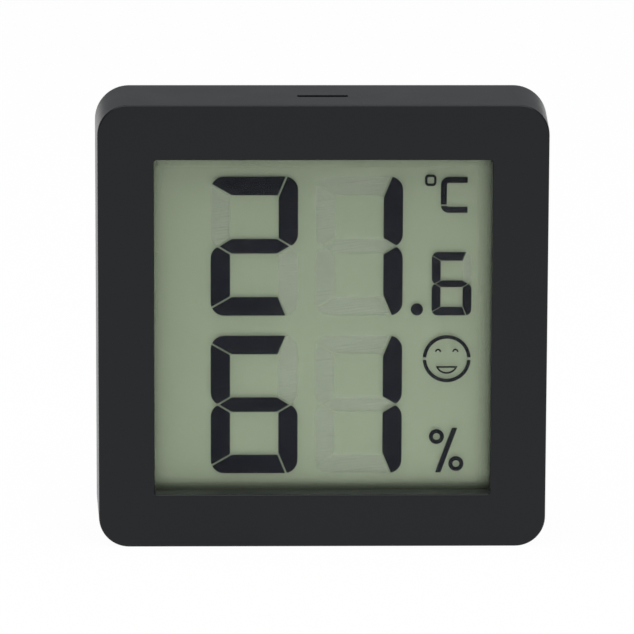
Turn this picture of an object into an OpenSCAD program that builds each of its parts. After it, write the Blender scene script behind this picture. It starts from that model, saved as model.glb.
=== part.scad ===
// Small square room thermometer and hygrometer.
// A black moulded case holds a segment display in a recessed window. Behind the display are
// the board, the sensors under a vent slot, a coin cell with a turning cover and a unit button.
// X runs to the right as seen from the front, Y from front to back and Z up. The origin lies
// on the standing face, at the middle of the case. A depth is counted from the front face.

/* [Case] */
// Width of the front face
case_w = 55; // [50:0.5:70]
// Height of the front face
case_h = 55; // [50:0.5:70]
// Depth from the front face to the rear face
case_depth = 13.5; // [12.3:0.1:18]
// Corner radius of the front face
corner_r = 3.7; // [3.2:0.1:4.5]
// Growth of both sides and of the top from the front to the rear
draft_growth = 0.55; // [0:0.05:1]
// Bevel of the outer front and rear edges
edge_bevel = 0.25; // [0.1:0.05:0.5]
// Thickness of the side walls
wall_t = 1.8; // [1.5:0.1:2]
// Thickness of the front wall round the window
bezel_t = 2.6; // [2:0.1:3]

/* [Window and vent] */
// Width of the bezel on both sides of the window
bezel_side = 6.7; // [6:0.05:7.5]
// Height of the bezel above the window
bezel_top = 6.65; // [6:0.05:7.5]
// Height of the bezel below the window
window_bottom = 6.45; // [5.8:0.05:7.5]
// Corner radius of the window opening
window_r = 0.5; // [0.2:0.1:1.5]
// Length of the vent slot in the top
vent_w = 6.2; // [3:0.1:12]
// Width of the vent slot
vent_t = 1.3; // [0.8:0.1:2]
// Distance of the middle of the vent slot in front of the board
vent_offset = 1.1; // [0.8:0.05:1.5]
// Corner radius of the vent slot
vent_r = 0.3; // [0.1:0.05:0.4]

/* [Display plates] */
// Thickness of the front polarizer
polarizer_t = 0.2; // [0.1:0.05:0.3]
// Thickness of each glass plate
glass_t = 0.7; // [0.5:0.05:0.8]
// Thickness of the liquid crystal layer, in which the segments lie
layer_t = 0.1; // [0.05:0.01:0.15]
// Thickness of the reflecting film
reflector_t = 0.3; // [0.2:0.05:0.4]
// Overlap of the display plates behind the bezel
glass_margin = 0.6; // [0.5:0.05:0.8]
// Height of the contact ledge above and below the rear glass
ledge_h = 1.5; // [1.4:0.05:1.7]
// Width of the seal between the glass plates
seal_w = 0.5; // [0.3:0.05:0.55]
// Inset of both films from the edges of the glass
film_inset = 0.2; // [0.1:0.05:0.3]

/* [Numbers] */
// Width of a large number
digit_w = 10.7; // [9:0.1:11]
// Height of a large number
digit_h = 17.3; // [15:0.1:17.6]
// Thickness of the level outer segments
bar_t = 2.3; // [1.6:0.05:2.5]
// Thickness of the upright segments
side_t = 2.36; // [1.6:0.02:2.5]
// Thickness of the middle segment
mid_t = 1.8; // [1.2:0.05:2]
// Rounding of the outer corners of a number
lobe_r = 1.65; // [1:0.05:2]
// Distance from the side of a number to the point where its halves meet
waist_x = 0.86; // [0.7:0.02:1]
// Gap between segments
segment_gap = 0.23; // [0.15:0.01:0.3]
// Angle of the left corner gaps above the horizontal
left_miter = 30; // [25:1:40]
// Angle of the right corner gaps above the horizontal
right_miter = 67.5; // [60:0.5:72]
// Left edge of the first number, from the middle of the window
digit_left = -13.72; // [-15:0.02:-12.5]
// Space between the two large numbers
digit_space = 2.17; // [1.5:0.01:2.4]
// Distance of the temperature row below an even spread of the rows
temperature_drop = 0.27; // [0:0.01:0.5]
// Distance of the humidity row below an even spread of the rows
humidity_drop = 0.38; // [0:0.01:0.5]
// Height of the small number behind the decimal point
tenths_h = 7.9; // [6:0.1:8.4]
// Middle of the small number, from the middle of the symbol column
tenths_offset = 0.5; // [0.3:0.02:0.8]

/* [Symbols] */
// Middle of the symbol column, from the right edge of the second number
symbol_offset = 5.54; // [5.2:0.02:6]
// Radius of the decimal point
point_r = 0.75; // [0.5:0.05:0.9]
// Middle of the decimal point, from the right edge of the second number
point_offset = 1.79; // [1.3:0.01:2]
// Size of the degree ring
degree_size = 1.42; // [1:0.02:1.5]
// Stroke of the degree ring
degree_t = 0.31; // [0.2:0.01:0.4]
// Outer corner radius of the degree ring
degree_r = 0.46; // [0.42:0.01:0.49]
// Distance from the middle of the degree ring to the letter
degree_offset = 1.25; // [1.1:0.01:1.5]
// Height of the degree ring above the letter
degree_rise = 0.3; // [0:0.02:0.5]
// Width of the letter
letter_w = 3.28; // [2.5:0.02:3.6]
// Height of the letter
letter_h = 4.44; // [3.5:0.02:4.8]
// Stroke of the letter
letter_t = 0.73; // [0.4:0.01:0.8]
// Outer corner radius of the letter
letter_r = 1; // [0.9:0.02:1.2]
// Distance of the letter's top below the top of the numbers
letter_drop = 0.05; // [0:0.01:0.2]
// Right edge of the letter, from the middle of the symbol column
letter_offset = 2.37; // [2:0.01:2.6]
// Height of the gap between the letter's two segments
letter_gap_h = 0.93; // [0.85:0.01:1.1]
// Outer radius of the comfort face
face_r = 2.95; // [2.4:0.01:3.1]
// Stroke of the comfort face
face_t = 0.42; // [0.25:0.01:0.5]
// Gap between the halves of the comfort face
face_gap = 0.36; // [0.2:0.01:0.5]
// Distance of the comfort face to the left of the middle of the symbol column
face_shift = 0.03; // [0:0.01:0.2]
// Height of the comfort face's top above the top of the number
face_rise = 0.05; // [0:0.01:0.2]
// Stroke of the eyes and the mouth
feature_t = 0.19; // [0.1:0.01:0.22]
// Distance of the eyes from the middle of the face
eye_x = 1.065; // [0.9:0.005:1.2]
// Height of the eyes above the middle of the face
eye_z = 0.87; // [0.7:0.01:1]
// Outer radius of the eyes
eye_r = 0.38; // [0.3:0.01:0.45]
// Outer radius of the mouth
mouth_r = 1.4; // [1.2:0.02:1.5]
// Depth of the mouth's arc centre below the middle of the face
mouth_drop = 0.49; // [0.4:0.01:0.55]
// Depth of the mouth's upper line below its arc centre
mouth_lip = 0.45; // [0.4:0.01:0.55]
// Stroke of the mouth's upper line
mouth_line_t = 0.2; // [0.15:0.01:0.25]
// Height of the per cent sign's foot above the foot of the number
percent_rise = 0.07; // [0:0.01:0.3]
// Height of the per cent sign
percent_h = 5.6; // [4.5:0.05:6]
// Stroke of the per cent sign's slash, measured level
slash_t = 0.66; // [0.4:0.02:0.8]
// Outer radius of the per cent sign's rings
percent_r = 0.93; // [0.7:0.01:1]
// Stroke of the per cent sign's rings
percent_t = 0.5; // [0.3:0.01:0.55]
// Distance of the rings' middles from the sign's ends
percent_ring_inset = 1.09; // [1:0.01:1.2]
// Distance of the rings' middles from the middle of the sign
percent_ring_x = 1.22; // [1.15:0.01:1.4]
// Lean of the slash from its foot to its head
slash_lean = 2.03; // [1.8:0.01:2.2]

/* [Display frame and board] */
// Wall of the display frame round the glass
frame_wall = 1.2; // [1:0.05:1.3]
// Thickness of the frame's plate behind the display
plate_t = 0.8; // [0.6:0.05:1]
// Thickness of the board
board_t = 1; // [0.8:0.05:1.2]
// Width of the rubber connector strips
zebra_w = 1.2; // [1:0.05:1.25]
// Distance of the strips' ends from the sides of the glass
zebra_end = 3; // [2:0.1:6]
// Width of the board tab that carries the sensors
tab_w = 10; // [8:0.1:14]
// Distance of the board posts' axes from the side walls
post_inset = 1.4; // [1.35:0.05:1.5]
// Distance of the board posts above and below the middle of the display
post_spread = 12; // [8:0.5:15]
// Radius of the board posts
post_r = 1.5; // [1.3:0.05:1.6]
// Height of the board's ears at the posts
ear_h = 4; // [3:0.1:6]

/* [Electronics] */
// Diameter of the sealed controller
chip_d = 8; // [5:0.1:8.5]
// Height of the sealed controller
chip_h = 1.4; // [0.8:0.05:2]
// Diameter of the crystal
crystal_d = 2; // [1.5:0.1:2.5]
// Length of the crystal
crystal_l = 6; // [5:0.1:7]
// Side of the humidity sensor
sensor_w = 1.5; // [1.2:0.05:1.6]
// Height of the humidity sensor above the board
sensor_t = 0.6; // [0.4:0.05:0.8]
// Length of a small chip part
chip_part_l = 1.6; // [1:0.1:2]
// Width of a small chip part
chip_part_w = 0.8; // [0.5:0.05:1]
// Height of a small chip part
chip_part_t = 0.6; // [0.4:0.05:0.8]
// Distance between small chip parts
chip_part_pitch = 2; // [1.6:0.1:2.4]
// Distance of the parts' places from the corners of the board
chip_inset = 8; // [7.5:0.1:9]

/* [Cell and its cover] */
// Diameter of the coin cell
cell_d = 20; // [18:0.1:22]
// Thickness of the coin cell
cell_t = 3.2; // [2.8:0.05:3.4]
// Distance from the board to the coin cell
spring_gap = 1; // [0.8:0.05:1.2]
// Thickness of the can
can_t = 0.3; // [0.2:0.05:0.4]
// Width of the gasket
gasket_w = 0.65; // [0.5:0.05:0.8]
// Step from the can's rim to the cap
cap_step = 0.25; // [0.15:0.05:0.35]
// Thickness of the spring contacts
contact_t = 0.2; // [0.15:0.01:0.25]
// Width of the positive contact's leaf
leaf_w = 3; // [2:0.1:5]
// Length of the positive contact's foot
leaf_foot = 3; // [2:0.1:4]
// Width of the negative contact's tongue
tongue_w = 4; // [2:0.1:6]
// Length of the negative contact's foot
tongue_foot = 4; // [3:0.1:5]
// Level run of the tongue's slope
tongue_slope = 4; // [3:0.1:5]
// Length of the tongue's tip under the cell
tongue_tip = 3; // [2:0.1:4]
// Thickness of the battery cover's disc
disc_t = 1; // [0.8:0.05:1.1]
// Wall of the battery cover's neck
neck_t = 0.65; // [0.5:0.05:0.8]
// Reach of the bayonet lugs
lug_reach = 1; // [0.8:0.05:1.2]
// Thickness of the bayonet lugs
lug_t = 0.8; // [0.6:0.05:0.9]
// Number of bayonet lugs
lug_count = 3; // [2:1:4]
// Width of a lug, in degrees
lug_angle = 24; // [16:1:28]
// Turn from locked to open, in degrees
open_turn = 40; // [36:1:50]
// Length of the coin slot
slot_l = 13; // [8:0.5:18]
// Width of the coin slot
slot_w = 2; // [1.4:0.1:2.6]
// Depth of the coin slot
slot_depth = 0.5; // [0.3:0.05:0.6]
// Land of the disc beyond the lug tracks
disc_land = 0.8; // [0.5:0.05:1]
// Wall of the collar round the lug tracks
collar_t = 1.1; // [0.8:0.05:1.2]
// Thickness of the collar under the lug tracks
track_floor = 1; // [0.8:0.05:1.2]
// Distance from the board to the cell's well
well_gap = 0.7; // [0.5:0.05:0.9]

/* [Rear cover and button] */
// Thickness of the rear cover
cover_t = 1.5; // [1.4:0.05:1.8]
// Thickness of the case's rim round the rear cover
rim_t = 1; // [0.8:0.05:1.3]
// Diameter of the unit button
button_d = 4.8; // [3.5:0.1:6]
// Distance of the button from the middle of the case
button_x = 13.5; // [10:0.5:15]
// Height of the button above the standing face
button_z = 9; // [8:0.1:10]
// Width of the button's retaining flange beyond its stem
flange_w = 0.7; // [0.5:0.05:1]
// Thickness of the button's retaining flange
flange_t = 0.8; // [0.6:0.05:1]
// Depth by which the button lies below the rear face
button_recess = 0.1; // [0:0.05:0.3]
// Travel of the button
button_travel = 0.35; // [0.2:0.05:0.4]
// Side of the switch below the button
switch_w = 4.5; // [4:0.1:6]
// Height of the switch
switch_h = 1.6; // [1.4:0.05:1.8]
// Thickness of the switch's floor
switch_floor = 0.3; // [0.2:0.05:0.4]
// Diameter of the switch plunger
plunger_d = 2.2; // [1.5:0.1:2.6]

/* [Screws] */
// Depth by which the corner bosses run into the walls
boss_bite = 0.6; // [0.4:0.05:0.8]
// Height of the pads under the rear cover's screws
pad_h = 1.1; // [0.8:0.05:1.4]
// Head diameter of the rear screws
rear_head_d = 3.4; // [3:0.1:3.6]
// Head height of the rear screws
rear_head_h = 1.1; // [0.8:0.05:1.2]
// Shank diameter of the rear screws
rear_shank_d = 1.6; // [1.4:0.05:1.8]
// Shank length of the rear screws
rear_shank_l = 5; // [4:0.1:5.5]
// Head diameter of the board screws
board_head_d = 2.4; // [2:0.05:2.5]
// Head height of the board screws
board_head_h = 0.8; // [0.6:0.05:1]
// Shank diameter of the board screws
board_shank_d = 1.2; // [1:0.05:1.4]
// Shank length of the board screws
board_shank_l = 4; // [3:0.1:5]

/* [Clearances] */
// Room beside a screw shank in its pilot hole
pilot_clear = 0.05; // [0.02:0.01:0.1]
// Room round the rear cover
cover_clear = 0.12; // [0.08:0.01:0.2]
// Room between inner pieces that lie side by side
side_clear = 0.15; // [0.1:0.01:0.2]
// Room between the board and the case
board_clear = 0.3; // [0.2:0.05:0.35]
// Room round a moving piece
moving_clear = 0.2; // [0.15:0.01:0.25]
// Room between the nested round pieces of the cell
cell_clear = 0.05; // [0.02:0.01:0.08]
// Room in front of and behind the bayonet lugs
lug_clear = 0.15; // [0.1:0.01:0.2]
// Room beside a lug at the ends of its track, in degrees
stop_clear = 1.5; // [1:0.1:2]

/* [Hidden] */
$fn = 64;

case_colour = "#2b2c2e";
inner_colour = "#3a3c3e";
glass_colour = "#b9c4b6";
film_colour = "#8c9b82";
segment_colour = "#222228";
idle_colour = "#8f9888";
rubber_colour = "#d8a8a0";
board_colour = "#2c5c3a";
steel_colour = "#b8babd";
ceramic_colour = "#b49a78";

// Depth by which joined shapes run into each other
root = 0.01;
// Length by which a cut runs past the face it opens
past = 1;

front_y = -case_depth / 2;
window_w = case_w - 2 * bezel_side;
window_h = case_h - bezel_top - window_bottom;
window_middle = window_bottom + window_h / 2;
cavity_half_w = case_w / 2 - wall_t;
cavity_top = case_h - wall_t;

// Depths of the stack, from the front
glass_depth = bezel_t + polarizer_t;
layer_depth = glass_depth + glass_t;
rear_glass_depth = layer_depth + layer_t;
reflector_depth = rear_glass_depth + glass_t;
plate_depth = reflector_depth + reflector_t;
plate_rear = plate_depth + plate_t;
cover_depth = case_depth - cover_t;
disc_depth = case_depth - disc_t;
cell_rear = disc_depth - moving_clear / 2;
cell_front = cell_rear - cell_t;
board_rear = cell_front - spring_gap;
board_depth = board_rear - board_t;
board_standoff = board_depth - bezel_t;
vent_depth = board_depth - vent_offset;

// Plates of the display
glass_w = window_w + 2 * glass_margin;
rear_glass_h = window_h + 2 * glass_margin;
front_glass_h = rear_glass_h + 2 * ledge_h;
frame_w = glass_w + 2 * (side_clear + frame_wall);
frame_h = front_glass_h + 2 * (side_clear + frame_wall);
zebra_l = glass_w - 2 * zebra_end;
zebra_offset = (rear_glass_h + ledge_h) / 2;

// Corner bosses and board posts
boss_x = case_w / 2 - corner_r;
boss_rear = cover_depth - pad_h;
boss_r = corner_r - wall_t + boss_bite;
pad_r = corner_r - wall_t - side_clear;
post_x = cavity_half_w - post_inset;
tab_top = cavity_top - board_clear;

// Rings of the battery cover, from the cell outwards
cell_r = cell_d / 2;
neck_inner_r = cell_r + moving_clear + cell_clear;
neck_r = neck_inner_r + neck_t;
opening_r = neck_r + moving_clear;
lug_r = neck_r + lug_reach;
track_r = lug_r + moving_clear;
disc_r = track_r + disc_land;
collar_r = track_r + collar_t;
well_r = cell_r + 2 * moving_clear;
well_depth = board_rear + well_gap;
lug_depth = cover_depth - lug_clear - lug_t;
track_depth = lug_depth - lug_clear;
cell_z = (case_h + draft_growth) / 2;

// Button and switch
button_r = button_d / 2;
flange_rear = cover_depth - moving_clear;
flange_depth = flange_rear - flange_t;
plunger_depth = board_rear + switch_floor + button_travel + moving_clear;

// Positions on the display, from the middle of the window's lower edge
row_room = (window_h - 2 * digit_h) / 3;
humidity_row = row_room - humidity_drop;
temperature_row = 2 * row_room + digit_h - temperature_drop;
ones_left = digit_left + digit_w + digit_space;
symbol_x = ones_left + digit_w + symbol_offset;
tenths_scale = tenths_h / digit_h;
tenths_x = symbol_x + tenths_offset;
point_x = ones_left + digit_w + point_offset;
letter_right = symbol_x + letter_offset;
letter_top = temperature_row + digit_h - letter_drop;
degree_x = letter_right - letter_w - degree_offset;
degree_z = letter_top + degree_rise - degree_size / 2;
percent_z = humidity_row + percent_rise + percent_h / 2;
face_x = symbol_x - face_shift;
face_z = humidity_row + digit_h + face_rise - face_r;

function growth(depth) = draft_growth * depth / case_depth;

// Draws a flat shape of X and Z from a depth backwards by a thickness
module slab(depth, t) {
    translate([0, front_y + depth + t, 0])
        rotate([90, 0, 0])
            linear_extrude(t)
                children();
}

// Stands round shapes on an axis that runs backwards from the front, so that Z is the depth
module depth_axis(x, z) {
    translate([x, front_y, z])
        rotate([-90, 0, 0])
            children();
}

module drum(depth, t, r) {
    translate([0, 0, depth])
        cylinder(r = r, h = t);
}

module ring(depth, t, outer_r, inner_r) {
    difference() {
        drum(depth, t, outer_r);
        drum(depth - past, t + 2 * past, inner_r);
    }
}

module round_rect(w, h, r) {
    square([w - 2 * r, h], center = true);
    square([w, h - 2 * r], center = true);
    for (sx = [-1, 1], sy = [-1, 1])
        translate([sx * (w / 2 - r), sy * (h / 2 - r)])
            circle(r);
}

// A sector of a ring round the depth axis, centred on an angle
module ring_sector(depth, t, outer_r, inner_r, middle, width) {
    reach = 2 * outer_r;
    intersection() {
        ring(depth, t, outer_r, inner_r);
        translate([0, 0, depth - past])
            linear_extrude(t + 2 * past)
                polygon([[0, 0],
                    reach * [cos(middle - width / 2), sin(middle - width / 2)],
                    reach * [cos(middle + width / 2), sin(middle + width / 2)]]);
    }
}

module both_sides() {
    children();
    mirror([1, 0, 0])
        children();
}

module at_corners() {
    for (z = [corner_r, case_h - corner_r])
        both_sides()
            depth_axis(boss_x, z)
                children();
}

module at_posts() {
    for (side = [-1, 1])
        both_sides()
            depth_axis(post_x, window_middle + side * post_spread)
                children();
}

module on_cell_axis() {
    depth_axis(0, cell_z)
        children();
}

module on_button_axis() {
    depth_axis(button_x, button_z)
        children();
}

// Case

// Side view of the case's edge: distance beyond the front face's outline, and depth
case_edge = [
    [-edge_bevel, 0],
    [growth(edge_bevel), edge_bevel],
    [growth(case_depth - edge_bevel), case_depth - edge_bevel],
    [draft_growth - edge_bevel, case_depth]
];

// The edge of the case at a distance from its middle
function edge_at(reach) = [for (p = case_edge) [reach + p[0], p[1]]];

// Draws half a section of the case, from the middle to the edge
module half_section(reach) {
    polygon(concat([[0, 0]], edge_at(reach), [[0, case_depth]]));
}

// Everything below a level, to cut a flat foot
module below(z) {
    reach = case_w + case_h;
    translate([-reach, -reach, z - reach])
        cube([2 * reach, 2 * reach, reach]);
}

module case_blank() {
    difference() {
        union() {
            translate([0, front_y, corner_r])
                linear_extrude(case_h - 2 * corner_r)
                    both_sides()
                        half_section(case_w / 2);
            translate([0, 0, case_h / 2])
                rotate([0, 90, 0])
                    translate([0, front_y, -boss_x])
                        linear_extrude(2 * boss_x)
                            both_sides()
                                half_section(case_h / 2);
            at_corners()
                rotate_extrude()
                    half_section(corner_r);
        }
        below(0);
    }
}

module case_cavity() {
    slab(bezel_t, cover_depth - bezel_t + root)
        translate([0, case_h / 2])
            round_rect(case_w - 2 * wall_t, case_h - 2 * wall_t, corner_r - wall_t);
}

// Outline of the rear opening, or of the cover that fills it
module cover_outline(clear) {
    rim = rim_t + clear;
    top = case_h + growth(cover_depth) - rim;
    translate([0, (top + rim) / 2])
        round_rect(case_w + 2 * (growth(cover_depth) - rim), top - rim,
            corner_r + growth(cover_depth) - rim);
}

module front_case() {
    color(case_colour)
        difference() {
            union() {
                difference() {
                    case_blank();
                    case_cavity();
                    slab(cover_depth, cover_t + past)
                        cover_outline(0);
                }
                at_corners()
                    drum(plate_rear, boss_rear - plate_rear, boss_r);
                at_posts()
                    drum(bezel_t - root, board_standoff + root, post_r);
            }
            slab(-past, bezel_t + 2 * past)
                translate([0, window_middle])
                    round_rect(window_w, window_h, window_r);
            translate([0, front_y + vent_depth, cavity_top - past])
                linear_extrude(wall_t + draft_growth + 2 * past)
                    round_rect(vent_w, vent_t, vent_r);
            at_corners()
                drum(boss_rear - rear_shank_l, rear_shank_l + past, rear_shank_d / 2 + pilot_clear);
            at_posts()
                drum(board_depth - board_shank_l, board_shank_l + past, board_shank_d / 2 + pilot_clear);
        }
}

// Rooms in which the bayonet lugs turn, and the notches through which they enter
module lug_tracks() {
    lug_room = lug_angle + 2 * stop_clear;
    for (i = [0 : lug_count - 1])
        rotate(360 * i / lug_count) {
            ring_sector(track_depth, cover_depth - track_depth, track_r, opening_r - past,
                open_turn / 2, open_turn + lug_room);
            ring_sector(track_depth, case_depth - track_depth, track_r, opening_r - past,
                open_turn, lug_room);
        }
}

module rear_cover() {
    head_seat = case_depth - rear_head_h - moving_clear;
    color(case_colour)
        difference() {
            union() {
                slab(cover_depth, cover_t)
                    cover_outline(cover_clear);
                at_corners()
                    drum(boss_rear, pad_h + cover_t / 2, pad_r);
                on_cell_axis() {
                    drum(track_depth - track_floor, cover_depth - track_depth + track_floor, collar_r);
                    drum(well_depth, track_depth - well_depth, well_r + collar_t);
                }
            }
            at_corners() {
                drum(boss_rear - past, pad_h + cover_t + 2 * past, rear_shank_d / 2 + moving_clear);
                drum(head_seat, rear_head_h + moving_clear + past, rear_head_d / 2 + moving_clear);
            }
            on_cell_axis() {
                drum(well_depth - past, cover_depth - well_depth + past, well_r);
                drum(track_depth, case_depth - track_depth + past, opening_r);
                drum(disc_depth, disc_t + past, disc_r + moving_clear);
                lug_tracks();
            }
            on_button_axis()
                drum(cover_depth - past, cover_t + 2 * past, button_r + moving_clear);
        }
}

// Pan head screw with a cross recess, its head's seat at a depth and its shank running forwards
module pan_screw(seat, head_d, head_h, shank_d, shank_l) {
    cross_t = head_d / 7;
    difference() {
        drum(seat, head_h, head_d / 2);
        for (turn = [0, 90])
            rotate(turn)
                translate([-head_d / 3, -cross_t / 2, seat + head_h / 2])
                    cube([2 * head_d / 3, cross_t, head_h]);
    }
    drum(seat - shank_l, shank_l, shank_d / 2);
}

module rear_screws() {
    color(steel_colour)
        at_corners()
            pan_screw(case_depth - rear_head_h - moving_clear, rear_head_d, rear_head_h, rear_shank_d,
                rear_shank_l);
}

module battery_cover() {
    color(case_colour)
        on_cell_axis()
            difference() {
                union() {
                    drum(disc_depth, disc_t, disc_r);
                    ring(lug_depth, disc_depth - lug_depth + disc_t / 2, neck_r, neck_inner_r);
                    for (i = [0 : lug_count - 1])
                        rotate(360 * i / lug_count)
                            ring_sector(lug_depth, lug_t, lug_r, neck_r - neck_t / 2, 0, lug_angle);
                }
                translate([-slot_l / 2, -slot_w / 2, case_depth - slot_depth])
                    cube([slot_l, slot_w, slot_depth + past]);
            }
}

// Button and switch

module unit_button() {
    color(case_colour)
        on_button_axis() {
            drum(flange_depth, flange_t, button_r + flange_w);
            drum(flange_depth, case_depth - button_recess - flange_depth, button_r);
        }
}

module switch_plunger() {
    color("#303030")
        on_button_axis()
            drum(plunger_depth, flange_depth - plunger_depth, plunger_d / 2);
}

module switch_body() {
    color(steel_colour)
        difference() {
            slab(board_rear, switch_h)
                translate([button_x, button_z])
                    square(switch_w, center = true);
            on_button_axis()
                drum(board_rear + switch_floor, switch_h, plunger_d / 2 + moving_clear);
        }
}

// Display plates

module display_plate(depth, t, w, h) {
    slab(depth, t)
        translate([0, window_middle])
            square([w, h], center = true);
}

module lcd_front_polarizer() {
    color(glass_colour, 0.3)
        display_plate(bezel_t, polarizer_t, glass_w - 2 * film_inset, rear_glass_h);
}

module lcd_front_glass() {
    color(glass_colour, 0.3)
        display_plate(glass_depth, glass_t, glass_w, front_glass_h);
}

module lcd_seal() {
    color(film_colour)
        difference() {
            display_plate(layer_depth, layer_t, glass_w, rear_glass_h);
            display_plate(layer_depth - past, layer_t + 2 * past, glass_w - 2 * seal_w,
                rear_glass_h - 2 * seal_w);
        }
}

module lcd_rear_glass() {
    color(glass_colour, 0.3)
        display_plate(rear_glass_depth, glass_t, glass_w, rear_glass_h);
}

module lcd_reflector() {
    color(film_colour)
        display_plate(reflector_depth, reflector_t, glass_w - 2 * film_inset, rear_glass_h - 2 * film_inset);
}

// Numbers
// The seven segments of a number are counted from the top one, clockwise round the outside,
// with the middle one last.

lobe_overlap = 0.15;
lobe_h = digit_h / 2 + lobe_overlap;
mid_z = digit_h / 2;
opening_h = mid_z - bar_t - mid_t / 2;
right_x = digit_w - side_t;
// How far a gap or a zone runs out from an inner corner
corner_reach = 6;
upper = mid_z + mid_t / 2;
lower = mid_z - mid_t / 2;
roof = digit_h - bar_t;

function ray(angle) = corner_reach * [cos(angle), sin(angle)];

// Each number's inner corners, with the direction of the gap that starts there
corner_gaps = [
    [[side_t, roof], 180 - left_miter],
    [[right_x, roof], right_miter],
    [[right_x, bar_t], -right_miter],
    [[side_t, bar_t], 180 + left_miter]
];
waist_slope = atan2(mid_t / 2, side_t - waist_x);
waist_reach = norm([mid_t / 2, side_t - waist_x]) + lobe_overlap;
waist_gaps = [
    [[side_t, upper], 180 + waist_slope],
    [[side_t, lower], 180 - waist_slope],
    [[right_x, upper], -waist_slope],
    [[right_x, lower], waist_slope]
];
waist_left = [waist_x, mid_z];
waist_right = [digit_w - waist_x, mid_z];
far_left = [-corner_reach, mid_z];
far_right = [digit_w + corner_reach, mid_z];

function corner(i) = corner_gaps[i][0];
function far_corner(i) = corner_gaps[i][0] + ray(corner_gaps[i][1]);

// Zone of each segment: its edges run along the middles of the gaps
zones = [
    [corner(0), far_corner(0), [0, digit_h + corner_reach], [digit_w, digit_h + corner_reach],
        far_corner(1), corner(1)],
    [corner(1), far_corner(1), [digit_w + corner_reach, digit_h], far_right, waist_right, [right_x, upper]],
    [corner(2), far_corner(2), [digit_w + corner_reach, 0], far_right, waist_right, [right_x, lower]],
    [corner(2), far_corner(2), [digit_w, -corner_reach], [0, -corner_reach], far_corner(3), corner(3)],
    [corner(3), far_corner(3), far_left, waist_left, [side_t, lower]],
    [corner(0), far_corner(0), far_left, waist_left, [side_t, upper]],
    [[side_t, lower], waist_left, [side_t, upper], [right_x, upper], waist_right, [right_x, lower]]
];
SEGMENTS = [0 : 6];
ONE = [1, 2];
TWO = [0, 1, 3, 4, 6];
SIX = [0, 2, 3, 4, 5, 6];

function unlit(lit) = [for (i = SEGMENTS) if (len(search(i, lit)) == 0) i];

module gap_line(start, angle, reach) {
    translate(start)
        rotate(angle)
            translate([-segment_gap, -segment_gap / 2])
                square([segment_gap + reach, segment_gap]);
}

// A figure eight whose segments are kept apart by thin gaps
module figure_eight() {
    difference() {
        for (low = [0, digit_h - lobe_h])
            translate([digit_w / 2, low + lobe_h / 2])
                round_rect(digit_w, lobe_h, lobe_r);
        for (low = [bar_t, upper])
            translate([side_t, low])
                square([digit_w - 2 * side_t, opening_h]);
        for (gap = corner_gaps)
            gap_line(gap[0], gap[1], corner_reach);
        for (gap = waist_gaps)
            gap_line(gap[0], gap[1], waist_reach);
    }
}

module number(lit) {
    intersection() {
        figure_eight();
        for (i = lit)
            polygon(zones[i]);
    }
}

// Draws flat glyphs in the liquid crystal layer
module in_layer() {
    slab(layer_depth, layer_t)
        translate([0, window_bottom])
            children();
}

module tens_place(row) {
    translate([digit_left, row])
        children();
}

module ones_place(row) {
    translate([ones_left, row])
        children();
}

module tenths_place() {
    translate([tenths_x - tenths_scale * digit_w / 2, temperature_row])
        scale(tenths_scale)
            children();
}

module lcd_temperature_segments() {
    color(segment_colour)
        in_layer() {
            tens_place(temperature_row)
                number(TWO);
            ones_place(temperature_row)
                number(ONE);
            tenths_place()
                number(SIX);
        }
}

module lcd_humidity_segments() {
    color(segment_colour)
        in_layer() {
            tens_place(humidity_row)
                number(SIX);
            ones_place(humidity_row)
                number(ONE);
        }
}

module lcd_idle_segments() {
    color(idle_colour)
        in_layer() {
            tens_place(temperature_row)
                number(unlit(TWO));
            ones_place(temperature_row)
                number(unlit(ONE));
            tenths_place()
                number(unlit(SIX));
            tens_place(humidity_row)
                number(unlit(SIX));
            ones_place(humidity_row)
                number(unlit(ONE));
        }
}

// Symbols

module flat_ring(outer_r, inner_r) {
    difference() {
        circle(outer_r);
        circle(inner_r);
    }
}

module degree_ring() {
    inner = degree_size - 2 * degree_t;
    difference() {
        round_rect(degree_size, degree_size, degree_r);
        round_rect(inner, inner, degree_r - degree_t);
    }
}

// Letter drawn leftwards from its open side, in two segments
module letter_c() {
    difference() {
        round_rect(2 * letter_w, letter_h, letter_r);
        round_rect(2 * (letter_w - letter_t), letter_h - 2 * letter_t, letter_r - letter_t);
        translate([0, -letter_h])
            square([2 * letter_w, 2 * letter_h]);
        translate([-letter_w - segment_gap, letter_gap_h - letter_h / 2 - segment_gap / 2])
            square([letter_t + 2 * segment_gap, segment_gap]);
    }
}

module percent_sign() {
    ring_z = percent_h / 2 - percent_ring_inset;
    foot = [-slash_lean / 2, -percent_h / 2];
    half = [slash_t / 2, 0];
    polygon([foot - half, foot + half, half - foot, -half - foot]);
    for (side = [-1, 1])
        translate([side * percent_ring_x, -side * ring_z])
            flat_ring(percent_r, percent_r - percent_t);
}

module lcd_unit_symbols() {
    color(segment_colour)
        in_layer() {
            translate([degree_x, degree_z])
                degree_ring();
            translate([letter_right, letter_top - letter_h / 2])
                letter_c();
            translate([point_x, temperature_row + point_r])
                circle(point_r);
            translate([symbol_x, percent_z])
                percent_sign();
        }
}

// Half disc below a level line
module cap_below(r, level) {
    intersection() {
        circle(r);
        translate([-r - past, level - 2 * r])
            square([2 * (r + past), 2 * r]);
    }
}

module lcd_comfort_face() {
    color(segment_colour)
        in_layer()
            translate([face_x, face_z]) {
                difference() {
                    flat_ring(face_r, face_r - face_t);
                    square([3 * face_r, face_gap], center = true);
                }
                for (side = [-1, 1])
                    translate([side * eye_x, eye_z])
                        difference() {
                            flat_ring(eye_r, eye_r - feature_t);
                            translate([-face_r, -2 * face_r])
                                square(2 * face_r);
                        }
                translate([0, -mouth_drop])
                    difference() {
                        cap_below(mouth_r, -mouth_lip);
                        cap_below(mouth_r - feature_t, -mouth_lip - mouth_line_t);
                    }
            }
}

// Connector strips, display frame and board

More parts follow.
